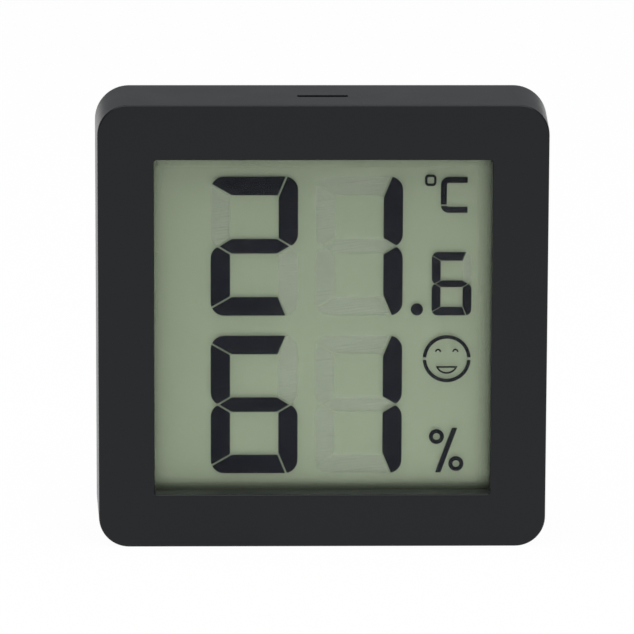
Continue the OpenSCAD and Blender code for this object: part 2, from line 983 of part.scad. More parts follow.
module zebra(side, depth, t, clear) {
    slab(depth, t)
        translate([0, window_middle + side * zebra_offset])
            square([zebra_l + 2 * clear, zebra_w + 2 * clear], center = true);
}

module zebra_upper() {
    color(rubber_colour)
        zebra(1, layer_depth, board_depth - layer_depth, 0);
}

module zebra_lower() {
    color(rubber_colour)
        zebra(-1, layer_depth, board_depth - layer_depth, 0);
}

module display_frame() {
    inner_w = glass_w + 2 * side_clear;
    inner_h = front_glass_h + 2 * side_clear;
    frame_top = window_middle + frame_h / 2;
    sensor_room = max(sensor_t, chip_part_t) + side_clear;
    color(inner_colour)
        difference() {
            display_plate(bezel_t, board_standoff, frame_w, frame_h);
            display_plate(bezel_t - past, plate_depth - bezel_t + past, inner_w, inner_h);
            display_plate(plate_rear, board_depth - plate_rear + past, inner_w, inner_h);
            for (side = [-1, 1])
                zebra(side, plate_depth - past, plate_t + 2 * past, side_clear);
            slab(board_depth - sensor_room, sensor_room + past)
                translate([0, frame_top])
                    square([tab_w, 2 * frame_wall + side_clear], center = true);
            at_corners()
                drum(plate_rear - side_clear, board_standoff, boss_r + side_clear);
            at_posts()
                drum(0, board_depth + past, post_r + side_clear);
        }
}

module board_outline() {
    translate([0, window_middle])
        square([frame_w, frame_h], center = true);
    for (side = [-1, 1])
        translate([0, window_middle + side * post_spread])
            square([2 * (cavity_half_w - board_clear), ear_h], center = true);
    translate([-tab_w / 2, window_middle])
        square([tab_w, tab_top - window_middle]);
}

module circuit_board() {
    color(board_colour)
        difference() {
            slab(board_depth, board_t)
                board_outline();
            at_corners()
                drum(board_depth - past, board_t + 2 * past, boss_r + board_clear);
            at_posts()
                drum(board_depth - past, board_t + 2 * past, board_shank_d / 2 + side_clear);
        }
}

module board_screws() {
    color(steel_colour)
        at_posts()
            pan_screw(board_rear, board_head_d, board_head_h, board_shank_d, board_shank_l);
}

// Parts on the board

// Places on the rear of the board, counted from its corners
chip_row_pitch = chip_part_l + chip_part_pitch - chip_part_w;
part_x = frame_w / 2 - chip_inset;
part_z = frame_h / 2 - chip_inset;

module controller_chip() {
    dome_r = (pow(chip_d / 2, 2) + pow(chip_h, 2)) / (2 * chip_h);
    color("#1a1a1c")
        depth_axis(-part_x, window_middle + part_z)
            intersection() {
                translate([0, 0, board_rear + chip_h - dome_r])
                    sphere(dome_r);
                drum(board_rear, chip_h + past, chip_d / 2 + past);
            }
}

module crystal() {
    color(steel_colour)
        translate([part_x - crystal_l / 2, front_y + board_rear + crystal_d / 2, window_middle + part_z])
            rotate([0, 90, 0])
                cylinder(d = crystal_d, h = crystal_l);
}

// A row of small chip parts on the rear of the board
module chip_row(x, z, count) {
    for (i = [0 : count - 1])
        slab(board_rear, chip_part_t)
            translate([x + i * chip_part_pitch, z])
                square([chip_part_w, chip_part_l], center = true);
}

module capacitors() {
    color(ceramic_colour) {
        chip_row(part_x - crystal_l / 2, window_middle + part_z - crystal_d - chip_part_l, 2);
        chip_row(-part_x - chip_part_pitch, window_middle - part_z, 3);
    }
}

module resistors() {
    color("#202024")
        for (row = [0, 1])
            chip_row(-part_x - chip_part_pitch, window_middle - part_z - (1 + row) * chip_row_pitch, 3);
}

sensor_middle = tab_top - board_clear - sensor_w / 2;
sensor_x = tab_w / 6;

module humidity_sensor() {
    color("#e4e4e0")
        slab(board_depth - sensor_t, sensor_t)
            translate([-sensor_x, sensor_middle])
                square(sensor_w, center = true);
}

module thermistor() {
    color("#404048")
        slab(board_depth - chip_part_t, chip_part_t)
            translate([sensor_x, sensor_middle])
                square([chip_part_l, chip_part_w], center = true);
}

// Coin cell and contacts

module cell_can() {
    color(steel_colour)
        on_cell_axis()
            difference() {
                drum(cell_front + cap_step, cell_t - cap_step, cell_r);
                drum(cell_front, cell_t - can_t, cell_r - can_t);
            }
}

module cell_gasket() {
    rim_r = cell_r - can_t - cell_clear;
    color("#404448")
        on_cell_axis()
            ring(cell_front + cap_step / 2, cell_t - can_t - cap_step / 2, rim_r, rim_r - gasket_w);
}

module cell_cap() {
    color(steel_colour)
        on_cell_axis()
            drum(cell_front, cell_t - can_t, cell_r - can_t - gasket_w - 2 * cell_clear);
}

// Draws a strip's side view, of X and depth, and gives it a width along Z
module contact_strip(w) {
    translate([0, front_y, cell_z - w / 2])
        linear_extrude(w)
            children();
}

module battery_contact_positive() {
    leaf_x = cell_r + cell_clear;
    leaf_top = track_depth - moving_clear;
    color(steel_colour)
        contact_strip(leaf_w) {
            translate([leaf_x, board_rear])
                square([leaf_foot, contact_t]);
            translate([leaf_x, board_rear])
                square([contact_t, leaf_top - board_rear]);
        }
}

module battery_contact_negative() {
    tip_end = tongue_tip / 2;
    tip_start = -tip_end;
    foot_end = tip_start - tongue_slope;
    foot_start = foot_end - tongue_foot;
    color(steel_colour)
        contact_strip(tongue_w)
            polygon([[foot_start, board_rear], [foot_end, board_rear], [tip_start, cell_front - contact_t],
                [tip_end, cell_front - contact_t], [tip_end, cell_front], [tip_start, cell_front],
                [foot_end, board_rear + contact_t], [foot_start, board_rear + contact_t]]);
}

front_case();
rear_cover();
rear_screws();
battery_cover();
unit_button();
switch_plunger();
switch_body();
lcd_front_polarizer();
lcd_front_glass();
lcd_seal();
lcd_rear_glass();
lcd_reflector();
lcd_temperature_segments();
lcd_humidity_segments();
lcd_unit_symbols();
lcd_comfort_face();
lcd_idle_segments();
zebra_upper();
zebra_lower();
display_frame();
circuit_board();
board_screws();
controller_chip();
crystal();
capacitors();
resistors();
humidity_sensor();
thermistor();
battery_contact_positive();
battery_contact_negative();
cell_can();
cell_gasket();
cell_cap();
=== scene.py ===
"""Room thermometer and hygrometer: shell and rear pieces modelled round the frame, finishes and stage."""

import math
from collections import namedtuple

import bmesh
import bpy
from mathutils import Matrix, Quaternion, Vector


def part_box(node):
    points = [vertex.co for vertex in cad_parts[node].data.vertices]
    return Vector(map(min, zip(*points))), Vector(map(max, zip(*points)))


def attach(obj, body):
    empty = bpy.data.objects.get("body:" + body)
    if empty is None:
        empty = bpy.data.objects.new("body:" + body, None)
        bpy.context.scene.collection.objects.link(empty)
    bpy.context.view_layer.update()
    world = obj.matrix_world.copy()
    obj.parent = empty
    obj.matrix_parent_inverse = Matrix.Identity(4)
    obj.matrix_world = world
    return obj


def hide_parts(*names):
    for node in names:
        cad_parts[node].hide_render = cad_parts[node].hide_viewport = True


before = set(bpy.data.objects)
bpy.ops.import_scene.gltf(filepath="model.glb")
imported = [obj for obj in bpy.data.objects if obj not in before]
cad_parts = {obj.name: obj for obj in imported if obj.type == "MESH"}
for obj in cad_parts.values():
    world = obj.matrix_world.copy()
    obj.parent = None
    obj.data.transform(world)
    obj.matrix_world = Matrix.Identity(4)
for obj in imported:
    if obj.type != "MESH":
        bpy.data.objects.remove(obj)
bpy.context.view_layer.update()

bl_info = {
    "name": "Room Meter",
    "version": (1, 0, 0),
    "blender": (4, 5, 0),
    "location": "3D View > Sidebar > Room Meter",
    "description": "Models and finishes a small room thermometer and hygrometer round its frame",
    "category": "Object",
}

# Places that the frame gives, in metres
CASE_LOW, CASE_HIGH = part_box("front_case")
COVER_LOW, COVER_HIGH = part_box("rear_cover")
DOOR_LOW, DOOR_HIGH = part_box("battery_cover")
BUTTON_LOW, BUTTON_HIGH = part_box("unit_button")
SCREWS_LOW, SCREWS_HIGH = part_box("rear_screws")
FILM_LOW, FILM_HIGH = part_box("lcd_front_polarizer")
PLATE_LOW, PLATE_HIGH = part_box("lcd_rear_glass")
BOARD_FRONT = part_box("circuit_board")[0].y
POSTS_LOW, POSTS_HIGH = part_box("board_screws")
CELL_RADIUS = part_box("cell_can")[1].x
FRONT = CASE_LOW.y
REAR = CASE_HIGH.y
BEZEL_REAR = FILM_LOW.y
DOOR_CENTRE = (DOOR_LOW + DOOR_HIGH) / 2
BUTTON_CENTRE = (BUTTON_LOW + BUTTON_HIGH) / 2

# Fineness of the round forms
CORNER_STEPS = 16
FILLET_STEPS = 4
SLOT_STEPS = 6
VENT_STEPS = 3
HEAD_STEPS = 5
TIP_STEPS = 2
DISH_STEPS = 6
ROUND_SIDES = 96
SMALL_SIDES = 48
DOOR_SIDES = 120
SMOOTH_ANGLE = math.radians(32)
SHARP_ANGLE = math.radians(40)

# Allowances
TOUCH = 2e-5           # two places this near count as one
MERGE = 1e-7           # corners this near are merged
PAST = 0.001           # how far a cutter reaches past the face that it cuts
FACING = 0.99          # least cosine between a face's normal and the direction that it looks in
UPRIGHT = 0.1          # most slope of a face that stands along the depth

# Shares of one size that another takes
COIN_CORNER = 0.3      # of the coin slot's width: its corner radius
MARK_REACH = 4         # of the marks' radius: from the battery cover's edge out to the marks
RING_RADIUS = 1.2      # of the marks' radius: the open mark's ring
RING_WIDTH = 0.5       # of the marks' radius: the width of that ring
POINTER_REACH = 2.2    # of the marks' radius: from the battery cover's edge in to its pointer
POINTER_RADIUS = 1.3   # of the marks' radius: the pointer
TIP_ROUND = 0.4        # of the screw shank's radius: the rounding of its tip
DISH_REACH = 0.9       # of the button's flat top: the hollow in it

# Painted shade on the display's film next to the window's edges, where the bezel keeps the light off: the
# window's edge, from where to where, and the share of light left
FILM_EDGE_PAINTED_SHADES = (
    ("low", -0.0003, 0.0011, 0.36),
    ("high", -0.0006, -0.0018, 0.86),
    ("right", 0.0003, -0.0022, 0.70),
    ("left", 0.0, 0.002, 0.92),
)
FILM_TOP_PAINTED_SHADE = 0.92        # painted shade: share of light at the top of a slope painted over the whole film, darker towards the top
BORDER_DROP = 0.0006   # from the window down to the line below which the display's front glass carries painted shade
# Colour of the painted shade at the bottom of the display's front glass
BOTTOM_SHADE_INK = (0.02, 0.021, 0.022)
IDLE_CLEAR = (0.985, 0.977, 0.998)

# Stage
OVERHEAD_PLACE, OVERHEAD_SIDE = (0, -0.3, 1.0), 1.2
FRONT_PLACE, FRONT_SIDE = (0.2, -0.95, 0.7), 0.7
PAPER = (0.9, 0.9, 0.9)
SENSOR_WIDTH = 36
NEAR_CLIP = 0.01
CLEAR_BOUNCES = 32

Outline = namedtuple("Outline", "half low high radius")


def length(name, about, default):
    """A size in metres that a user may change."""
    return bpy.props.FloatProperty(
        name=name, description=about, default=default, min=0, precision=5, unit="LENGTH", subtype="DISTANCE"
    )


def angle(name, about, degrees):
    """An angle that a user may change."""
    return bpy.props.FloatProperty(
        name=name, description=about, default=math.radians(degrees), unit="ROTATION", subtype="ANGLE"
    )


def colour(name, about, default):
    """A linear colour that a user may change."""
    return bpy.props.FloatVectorProperty(
        name=name, description=about, default=default, size=3, min=0, max=1, subtype="COLOR"
    )


def level(name, about, default):
    """A plain number that a user may change."""
    return bpy.props.FloatProperty(name=name, description=about, default=default, min=0, subtype="FACTOR")


class ShellSizes(bpy.types.PropertyGroup):
    """Sizes of the front shell."""

    front_side: length("Front side", "Width and height of the square front face", 0.055)
    corner: length("Corner radius", "Radius of the front face's corners", 0.0037)
    wall: length("Wall", "Thickness of the side walls", 0.0018)
    window_corner: length("Window corner", "Radius of the window's corners", 0.0004)
    lap_side: length("Side lap", "How far the display's film reaches behind the bezel's sides", 0.00055)
    lap_end: length("End lap", "How far the film reaches behind the bezel above and below", 0.00073)
    front_fillet: length("Front fillet", "Rounding of the front face's outer edge", 0.00022)
    window_fillet: length("Window fillet", "Rounding of the window's front edge", 0.0002)
    rear_fillet: length("Rear fillet", "Rounding of the shell's rear edge", 0.00012)
    rim_fillet: length("Rim fillet", "Rounding of the rim round the rear cover", 0.0001)
    vent_width: length("Vent width", "Width of the slot in the top", 0.0062)
    vent_depth: length("Vent depth", "Front to back size of the slot in the top", 0.0013)
    vent_corner: length("Vent corner", "Radius of the slot's corners", 0.0003)
    vent_front: length("Vent place", "From the slot's middle back to the board", 0.0011)
    vent_fillet: length("Vent fillet", "Rounding of the slot's upper edge", 0.00005)
    boss_radius: length("Boss radius", "Radius of the corner bosses for the rear screws", 0.0025)
    boss_length: length("Boss length", "Length of the corner bosses along the depth", 0.0055)
    post_radius: length("Post radius", "Radius of the posts that carry the board", 0.0015)
    post_head: length("Post screw head", "Radius of the heads of the board's screws", 0.0012)


class RearSizes(bpy.types.PropertyGroup):
    """Sizes of the rear cover, the battery cover, the button and the screws."""

    cover_thickness: length("Cover thickness", "Thickness of the rear cover's plate", 0.0015)
    cover_corner: length("Cover corner", "Radius of the rear cover's corners", 0.00307)
    cover_gap: length("Cover gap", "Gap between the rear cover and the shell's rim", 0.00012)
    cover_fillet: length("Cover fillet", "Rounding of the rear cover's edges", 0.00012)
    play: length("Play", "Gap round a moving piece", 0.0002)
    disc_thickness: length("Disc thickness", "Thickness of the battery cover's disc", 0.001)
    disc_fillet: length("Disc fillet", "Rounding of the battery cover's edges", 0.00018)
    neck_inset: length("Neck inset", "From the disc's edge in to the battery cover's neck", 0.002)
    neck_wall: length("Neck wall", "Thickness of the battery cover's neck", 0.00065)
    lug_reach: length("Lug reach", "How far a bayonet lug stands out from the neck", 0.001)
    lug_height: length("Lug height", "Thickness of a bayonet lug along the axis", 0.0008)
    lug_gap: length("Lug gap", "Gap in front of a bayonet lug in its track", 0.00015)
    track_floor: length("Track floor", "Thickness of the collar in front of the bayonet track", 0.001)
    collar_wall: length("Collar wall", "Thickness of the collar and of the cell well", 0.0011)
    well_play: length("Well play", "Gap between the coin cell and its well", 0.0004)
    pad_radius: length("Pad radius", "Radius of the rear cover's corner pads", 0.00175)
    pad_height: length("Pad height", "Height of the rear cover's corner pads", 0.0011)
    lug_angle: angle("Lug angle", "Width of a bayonet lug", 24)
    open_turn: angle("Opening turn", "How far the battery cover turns to open", 40)
    lug_count: bpy.props.IntProperty(name="Lugs", description="Number of bayonet lugs", default=3, min=2)
    coin_length: length("Coin slot length", "Length of the slot for a coin", 0.013)
    coin_width: length("Coin slot width", "Width of the slot for a coin", 0.002)
    coin_depth: length("Coin slot depth", "Depth of the slot for a coin", 0.0005)
    mark_radius: length("Mark radius", "Radius of the open and closed marks", 0.0007)
    mark_depth: length("Mark depth", "Depth of the marks", 0.00035)
    button_stem: length("Button radius", "Radius of the button's stem", 0.0024)
    button_flange: length("Button flange", "Thickness of the button's flange", 0.0008)
    button_fillet: length("Button fillet", "Rounding of the button's edge", 0.00035)
    button_dish: length("Button dish", "Depth of the hollow in the button's top", 0.00025)
    head_radius: length("Screw head radius", "Radius of a rear screw's head", 0.0017)
    head_height: length("Screw head height", "Height of a rear screw's head", 0.0011)
    head_fillet: length("Screw head fillet", "Rounding of a rear screw's head", 0.0004)
    shank_radius: length("Screw shank radius", "Radius of a rear screw's shank", 0.0008)
    cross_length: length("Cross length", "Length of a rear screw's cross recess", 0.0019)
    cross_width: length("Cross width", "Width of a rear screw's cross recess", 0.00048)
    cross_depth: length("Cross depth", "Depth of a rear screw's cross recess", 0.0009)


class FinishColours(bpy.types.PropertyGroup):
    """Colours of the pieces, linear."""

    case: colour("Case", "Matte black plastic of the shell and the covers", (0.0083, 0.0095, 0.0116))
    button: colour("Button", "Satin black plastic of the button", (0.014, 0.0145, 0.0155))
    display: colour("Display", "Grey-green film behind the display", (0.562, 0.608, 0.467))
    lit: colour("Lit segments", "Dark segments of the display", (0.0125, 0.0127, 0.0245))
    idle: colour("Idle segments", "Faint tint of the segments that are off", (0.30, 0.29, 0.34))
    seal: colour("Seal", "Adhesive line between the glass plates", (0.05, 0.055, 0.05))
    glass: colour("Glass", "Tint of the display's glass", (0.975, 0.985, 0.975))
    nickel: colour("Nickel", "Screws, switch and crystal", (0.50, 0.50, 0.51))
    spring: colour("Spring strip", "Contacts of the cell", (0.58, 0.56, 0.52))
    cell: colour("Cell", "Steel of the coin cell", (0.60, 0.60, 0.61))
    rubber: colour("Rubber", "Silicone of the connector strips", (0.55, 0.30, 0.27))
    holder: colour("Holder", "Plastic that holds the display", (0.030, 0.031, 0.034))
    mask: colour("Solder mask", "Coating of the board", (0.018, 0.095, 0.040))
    epoxy: colour("Epoxy", "Black drop over the chip, and the small parts", (0.010, 0.010, 0.011))
    capacitor: colour("Capacitor", "Fired ceramic of the capacitors", (0.36, 0.24, 0.13))
    ceramic: colour("Ceramic", "White moulding of the humidity sensor", (0.70, 0.70, 0.67))
    gasket: colour("Gasket", "Plastic ring of the coin cell", (0.050, 0.052, 0.057))


class StageSettings(bpy.types.PropertyGroup):
    """Camera, floor and light."""

    azimuth: angle("Azimuth", "Side angle of the camera, below zero from the left", -1.4763)
    elevation: angle("Elevation", "Height of the camera above the horizon", 10.9935)
    roll: angle("Roll", "Tilt of the camera about its own axis", 0.194)
    distance: length("Distance", "From the camera to the middle of the front face", 0.612893)
    focal: level("Focal length", "Lens in millimetres on a 36 mm sensor", 284.4)
    aim_x: bpy.props.FloatProperty(
        name="Aim to the side", description="Place that the camera looks at, from the middle",
        default=-0.00074, precision=5, unit="LENGTH", subtype="DISTANCE",
    )
    aim_z: length("Aim height", "Height that the camera looks at on the front face", 0.02884)
    floor_side: length("Floor side", "Side of the square floor", 5.0)
    floor_white: level("Floor white", "Share of plain white in the floor as it is seen", 0.97)
    room: colour("Room", "Light from all round", (0.27, 0.274, 0.278))
    overhead_power: level("Overhead", "Power of the soft light above, in watts", 11.0)
    front_power: level("Front", "Power of the soft light in front, in watts", 1.5)


# Modelling steps


def open_piece(name):
    """Starts an empty mesh at the origin and opens it in edit mode."""
    piece = bpy.data.objects.new(name, bpy.data.meshes.new(name))
    bpy.context.collection.objects.link(piece)
    reopen(piece)
    return piece


def reopen(piece):
    """Opens one piece in edit mode, with nothing else selected."""
    bpy.ops.object.select_all(action="DESELECT")
    bpy.context.view_layer.objects.active = piece
    piece.select_set(True)
    bpy.ops.object.mode_set(mode="EDIT")
    bpy.ops.mesh.select_mode(type="VERT")


def pick(piece, kind, test):
    """Selects only the corners, edges or faces of the open piece that pass the test."""
    bpy.ops.mesh.select_mode(type=kind)
    bpy.ops.mesh.select_all(action="DESELECT")
    mesh = bmesh.from_edit_mesh(piece.data)
    mesh.normal_update()
    parts = {"VERT": mesh.verts, "EDGE": mesh.edges, "FACE": mesh.faces}[kind]
    chosen = [part for part in parts if test(part)]
    if not chosen:
        raise RuntimeError(f"{piece.name}: no place found to shape")
    for part in chosen:
        part.select_set(True)
    mesh.select_flush_mode()
    bmesh.update_edit_mesh(piece.data)


def facing(direction, place=lambda middle: True):
    """A test for faces that look in a direction and whose middle passes another test."""
    way = Vector(direction)
    return lambda face: face.normal.dot(way) > FACING and place(face.calc_center_median())


def sharp_at(test):
    """A test for sharp edges whose two ends pass another test."""
    return lambda edge: edge.calc_face_angle(0) > SHARP_ANGLE and all(test(v.co) for v in edge.verts)


def push(offset):
    """Extrudes the selected faces by an offset."""
    bpy.ops.mesh.extrude_region_move(TRANSFORM_OT_translate={"value": offset})


def fillet(piece, size, test, steps=FILLET_STEPS):
    """Rounds the edges that pass the test."""
    pick(piece, "EDGE", test)
    bpy.ops.mesh.bevel(offset=size, segments=steps, affect="EDGES")


def rounded_sheet(outline, y):
    """Adds an upright sheet with round corners to the open mesh."""
    centre = (0, y, (outline.low + outline.high) / 2)
    height = outline.high - outline.low
    bpy.ops.mesh.select_all(action="DESELECT")
    bpy.ops.mesh.primitive_plane_add(size=1, location=centre, rotation=(math.pi / 2, 0, 0))
    bpy.ops.transform.resize(value=(2 * outline.half, 1, height), center_override=centre)
    bpy.ops.mesh.bevel(offset=outline.radius, segments=CORNER_STEPS, affect="VERTICES")


def drum(x, z, radius, front, rear, sides=ROUND_SIDES):
    """Adds a drum along the depth to the open mesh."""
    bpy.ops.mesh.primitive_cylinder_add(
        vertices=sides, radius=radius, depth=rear - front, location=(x, (front + rear) / 2, z),
        rotation=(math.pi / 2, 0, 0),
    )


def drums(places, radius, front, rear):
    """A shape of like small drums, one at each place."""

    def shape():
        for x, z in places:
            drum(x, z, radius, front, rear, SMALL_SIDES)

    return shape


def stepped_drum(x, z, steps, sides=ROUND_SIDES, flare=0.0):
    """Adds a drum whose radius steps along the depth: each step is a radius with its front and rear.

    A flare lets the rear end widen by a quarter round, so that the hole it cuts has a round edge.
    """
    last, front, rear = steps[0]
    drum(x, z, last, front, rear, sides)

    def rear_end(middle):
        return middle.y > rear - TOUCH and math.hypot(middle.x - x, middle.z - z) < TOUCH

    pick(bpy.context.edit_object, "FACE", facing((0, 1, 0), rear_end))
    for radius, front, rear in steps[1:]:
        push((0, 0, 0))
        bpy.ops.transform.resize(value=(radius / last, 1, radius / last), center_override=(x, front, z))
        push((0, rear - front, 0))
        last = radius
    if flare > 0:
        turns = [math.pi / 2 * step / FILLET_STEPS for step in range(FILLET_STEPS + 1)]
        for start, end in zip(turns, turns[1:]):
            wide = steps[-1][0] + flare * (1 - math.cos(end))
            push((0, flare * (math.sin(end) - math.sin(start)), 0))
            bpy.ops.transform.resize(value=(wide / last, 1, wide / last), center_override=(x, rear, z))
            last = wide
        push((0, PAST, 0))


def combine(piece, operation, *shapes):
    """Cuts shapes out of the open piece or joins them to it; each shape adds itself to an open mesh."""
    bpy.ops.object.mode_set(mode="OBJECT")
    tool = open_piece("tool")
    for shape in shapes:
        shape()
    bpy.ops.mesh.select_all(action="SELECT")
    bpy.ops.mesh.normals_make_consistent(inside=False)
    bpy.ops.object.mode_set(mode="OBJECT")
    step = piece.modifiers.new("combine", "BOOLEAN")
    step.operation = operation
    step.solver = "EXACT"
    step.use_self = True
    step.object = tool
    bpy.context.view_layer.objects.active = piece
    bpy.ops.object.modifier_apply(modifier=step.name)
    bpy.data.meshes.remove(tool.data)
    reopen(piece)


def close_piece(piece, finish, slot, body, *nodes):
    """Merges doubles, turns the faces outwards, smooths, finishes and mounts a piece on its body."""
    bpy.ops.mesh.select_all(action="SELECT")
    bpy.ops.mesh.remove_doubles(threshold=MERGE)
    bpy.ops.mesh.normals_make_consistent(inside=False)
    bpy.ops.object.mode_set(mode="OBJECT")
    bpy.ops.object.shade_smooth_by_angle(angle=SMOOTH_ANGLE)
    step = piece.modifiers.new("even", "WEIGHTED_NORMAL")
    step.keep_sharp = True
    bpy.ops.object.modifier_apply(modifier=step.name)
    mount(piece, finish, slot, body, *nodes)


def mount(piece, finish, slot, body, *nodes):
    """Gives a modelled piece its finish and body, and hides the nodes that it stands for."""
    piece.data.materials.append(finish)
    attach(piece, body)
    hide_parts(*nodes)


# Finishes


class Wire:
    """A shader socket that takes part in Python arithmetic."""

    def __init__(self, sheet, socket):
        self.sheet = sheet
        self.socket = socket

    def sum_of(self, operation, first, second):
        """The wire of a Math node on two values or wires."""
        return self.sheet.add("ShaderNodeMath", {"operation": operation}, {0: first, 1: second})

    def __add__(self, other):
        return self.sum_of("ADD", self, other)

    def __sub__(self, other):
        return self.sum_of("SUBTRACT", self, other)

    def __rsub__(self, other):
        return self.sum_of("SUBTRACT", other, self)

    def __mul__(self, other):
        return self.sum_of("MULTIPLY", self, other)

    __radd__ = __add__
    __rmul__ = __mul__


class Sheet:
    """The node tree of one finish."""

    def __init__(self, owner):
        owner.use_nodes = True
        self.owner = owner
        self.tree = owner.node_tree
        self.tree.nodes.clear()

    def add(self, kind, settings=None, inputs=None, output=0):
        """Adds a node: its settings first, then the values or wires of its sockets."""
        node = self.tree.nodes.new(kind)
        for name, value in (settings or {}).items():
            if name == "stops":
                while len(node.color_ramp.elements) < len(value):
                    node.color_ramp.elements.new(1)
                for stop, (place, shade) in zip(node.color_ramp.elements, value):
                    stop.position = place
                    stop.color = (*shade, 1)
            else:
                setattr(node, name, value)
        for name, value in (inputs or {}).items():
            if isinstance(value, Wire):
                self.tree.links.new(value.socket, node.inputs[name])
            else:
                node.inputs[name].default_value = value
        return Wire(self, node.outputs[output])

    def place(self, centre=(0, 0, 0), stretch=(1, 1, 1)):
        """Object coordinates, measured from a centre and stretched."""
        here = self.add("ShaderNodeTexCoord", output="Object")
        offset = tuple(-c * s for c, s in zip(centre, stretch))
        return self.add("ShaderNodeMapping", None, {"Vector": here, "Location": offset, "Scale": stretch})

    def along(self, axis):
        """The object coordinate along one axis."""
        here = self.add("ShaderNodeTexCoord", output="Object")
        return self.add("ShaderNodeSeparateXYZ", None, {0: here}, axis)

    def noise(self, size, detail=2.0, place=None):
        """Noise with features of about a size in metres."""
        return self.add("ShaderNodeTexNoise", None, {
            "Vector": place or self.place(), "Scale": 1 / size, "Detail": detail,
        })

    def tone(self, factor, base, spread):
        """A colour that goes from a little darker to a little lighter with a factor."""
        dark = tuple(c * (1 - spread) for c in base)
        light = tuple(min(1, c * (1 + spread)) for c in base)
        return self.blend(factor, (0.3, dark), (0.7, light))

    def blend(self, factor, *stops):
        """A colour ramp over a factor."""
        return self.add("ShaderNodeValToRGB", {"stops": stops}, {"Fac": factor})

    def ramp(self, value, start, end, least):
        """A factor that grows smoothly from a least amount at one place to one at another."""
        return self.add("ShaderNodeMapRange", {"interpolation_type": "SMOOTHSTEP"}, {
            "Value": value, "From Min": start, "From Max": end, "To Min": least, "To Max": 1.0,
        })

    def bump(self, height, depth, strength):
        """A fine relief of a depth in metres."""
        return self.add("ShaderNodeBump", None, {"Height": height, "Distance": depth, "Strength": strength})

    def surface(self, inputs):
        """A plain surface with these values or wires."""
        return self.add("ShaderNodeBsdfPrincipled", None, inputs)

    def clear(self, tint):
        """A surface that light passes, with a tint."""
        return self.add("ShaderNodeBsdfTransparent", None, {"Color": (*tint, 1)})

    def mix(self, share, first, second):
        """Two surfaces, mixed by the share of the second."""
        return self.add("ShaderNodeMixShader", None, {0: share, 1: first, 2: second})

    def finish(self, shader):
        """Ends the tree with a surface."""
        self.add_end("ShaderNodeOutputMaterial", shader)
        return self.owner

    def add_end(self, kind, shader):
        """Adds the output that takes a shader as its surface."""
        end = self.tree.nodes.new(kind)
        self.tree.links.new(shader.socket, end.inputs["Surface"])


def sheet_for(name):
    """A new material's sheet."""
    return Sheet(bpy.data.materials.new(name))


def moulded(name, base, roughness, grain, specular, relief=0.16):
    """Moulded plastic with an even fine texture."""
    sheet = sheet_for(name)
    cloud = sheet.noise(size=0.006, detail=3.0)
    pits = sheet.noise(grain)
    return sheet.finish(sheet.surface({
        "Base Color": sheet.tone(cloud, base, spread=0.05),
        "Roughness": roughness + 0.08 * (cloud - 0.5),
        "Specular IOR Level": specular,
        "Normal": sheet.bump(pits, depth=0.00003, strength=relief),
    }))


def plated(name, base, roughness, stretch):
    """Bright metal with fine drawing lines."""
    sheet = sheet_for(name)
    lines = sheet.noise(size=0.0002, detail=3.0, place=sheet.place(stretch=stretch))
    return sheet.finish(sheet.surface({
        "Base Color": sheet.tone(lines, base, spread=0.08),
        "Metallic": 1.0,
        "Roughness": roughness + 0.2 * (lines - 0.5),
        "Normal": sheet.bump(lines, depth=0.00001, strength=0.15),
    }))


def turned(name, base, roughness, centre):
    """Bright metal with fine rings about an axis along the depth."""
    sheet = sheet_for(name)
    rings = sheet.add(
        "ShaderNodeTexWave", {"wave_type": "RINGS", "rings_direction": "Y"},
        {"Vector": sheet.place(centre), "Scale": 900, "Distortion": 1.5, "Detail": 2},
    )
    return sheet.finish(sheet.surface({
        "Base Color": sheet.tone(rings, base, spread=0.06),
        "Metallic": 1.0,
        "Roughness": roughness + 0.1 * (rings - 0.5),
        "Normal": sheet.bump(rings, depth=0.000008, strength=0.15),
    }))


def fired(name, base, roughness, grain, spread=0.12, coat=0.0):
    """Ceramic or epoxy with a grained tone."""
    sheet = sheet_for(name)
    grains = sheet.noise(grain, detail=4.0)
    return sheet.finish(sheet.surface({
        "Base Color": sheet.tone(grains, base, spread),
        "Roughness": roughness + 0.1 * (grains - 0.5),
        "Coat Weight": coat,
        "Normal": sheet.bump(grains, depth=0.00002, strength=0.2),
    }))


def clear_plate(name, tint, gloss, roughness, border=None):
    """A clear plate of the display: see-through with a little gloss, and with painted shade below a border.
    """
    sheet = sheet_for(name)
    haze = sheet.noise(size=0.0009)
    clear = sheet.clear(tint)
    shine = sheet.add("ShaderNodeBsdfGlossy", None, {"Color": (1, 1, 1, 1), "Roughness": roughness})
    plate = sheet.mix(gloss * (haze + 0.5), clear, shine)
    if border is not None:
        # Painted shade: below the border line the glass is painted dark, at the bottom of the display.
        shade_ink = sheet.surface({
            "Base Color": sheet.tone(haze, BOTTOM_SHADE_INK, spread=0.1),
            "Roughness": 0.5,
        })
        shaded_below = 1 - sheet.ramp(sheet.along("Z"), border - TOUCH, border, 0.0)
        plate = sheet.mix(shaded_below, plate, shade_ink)
    return sheet.finish(plate)


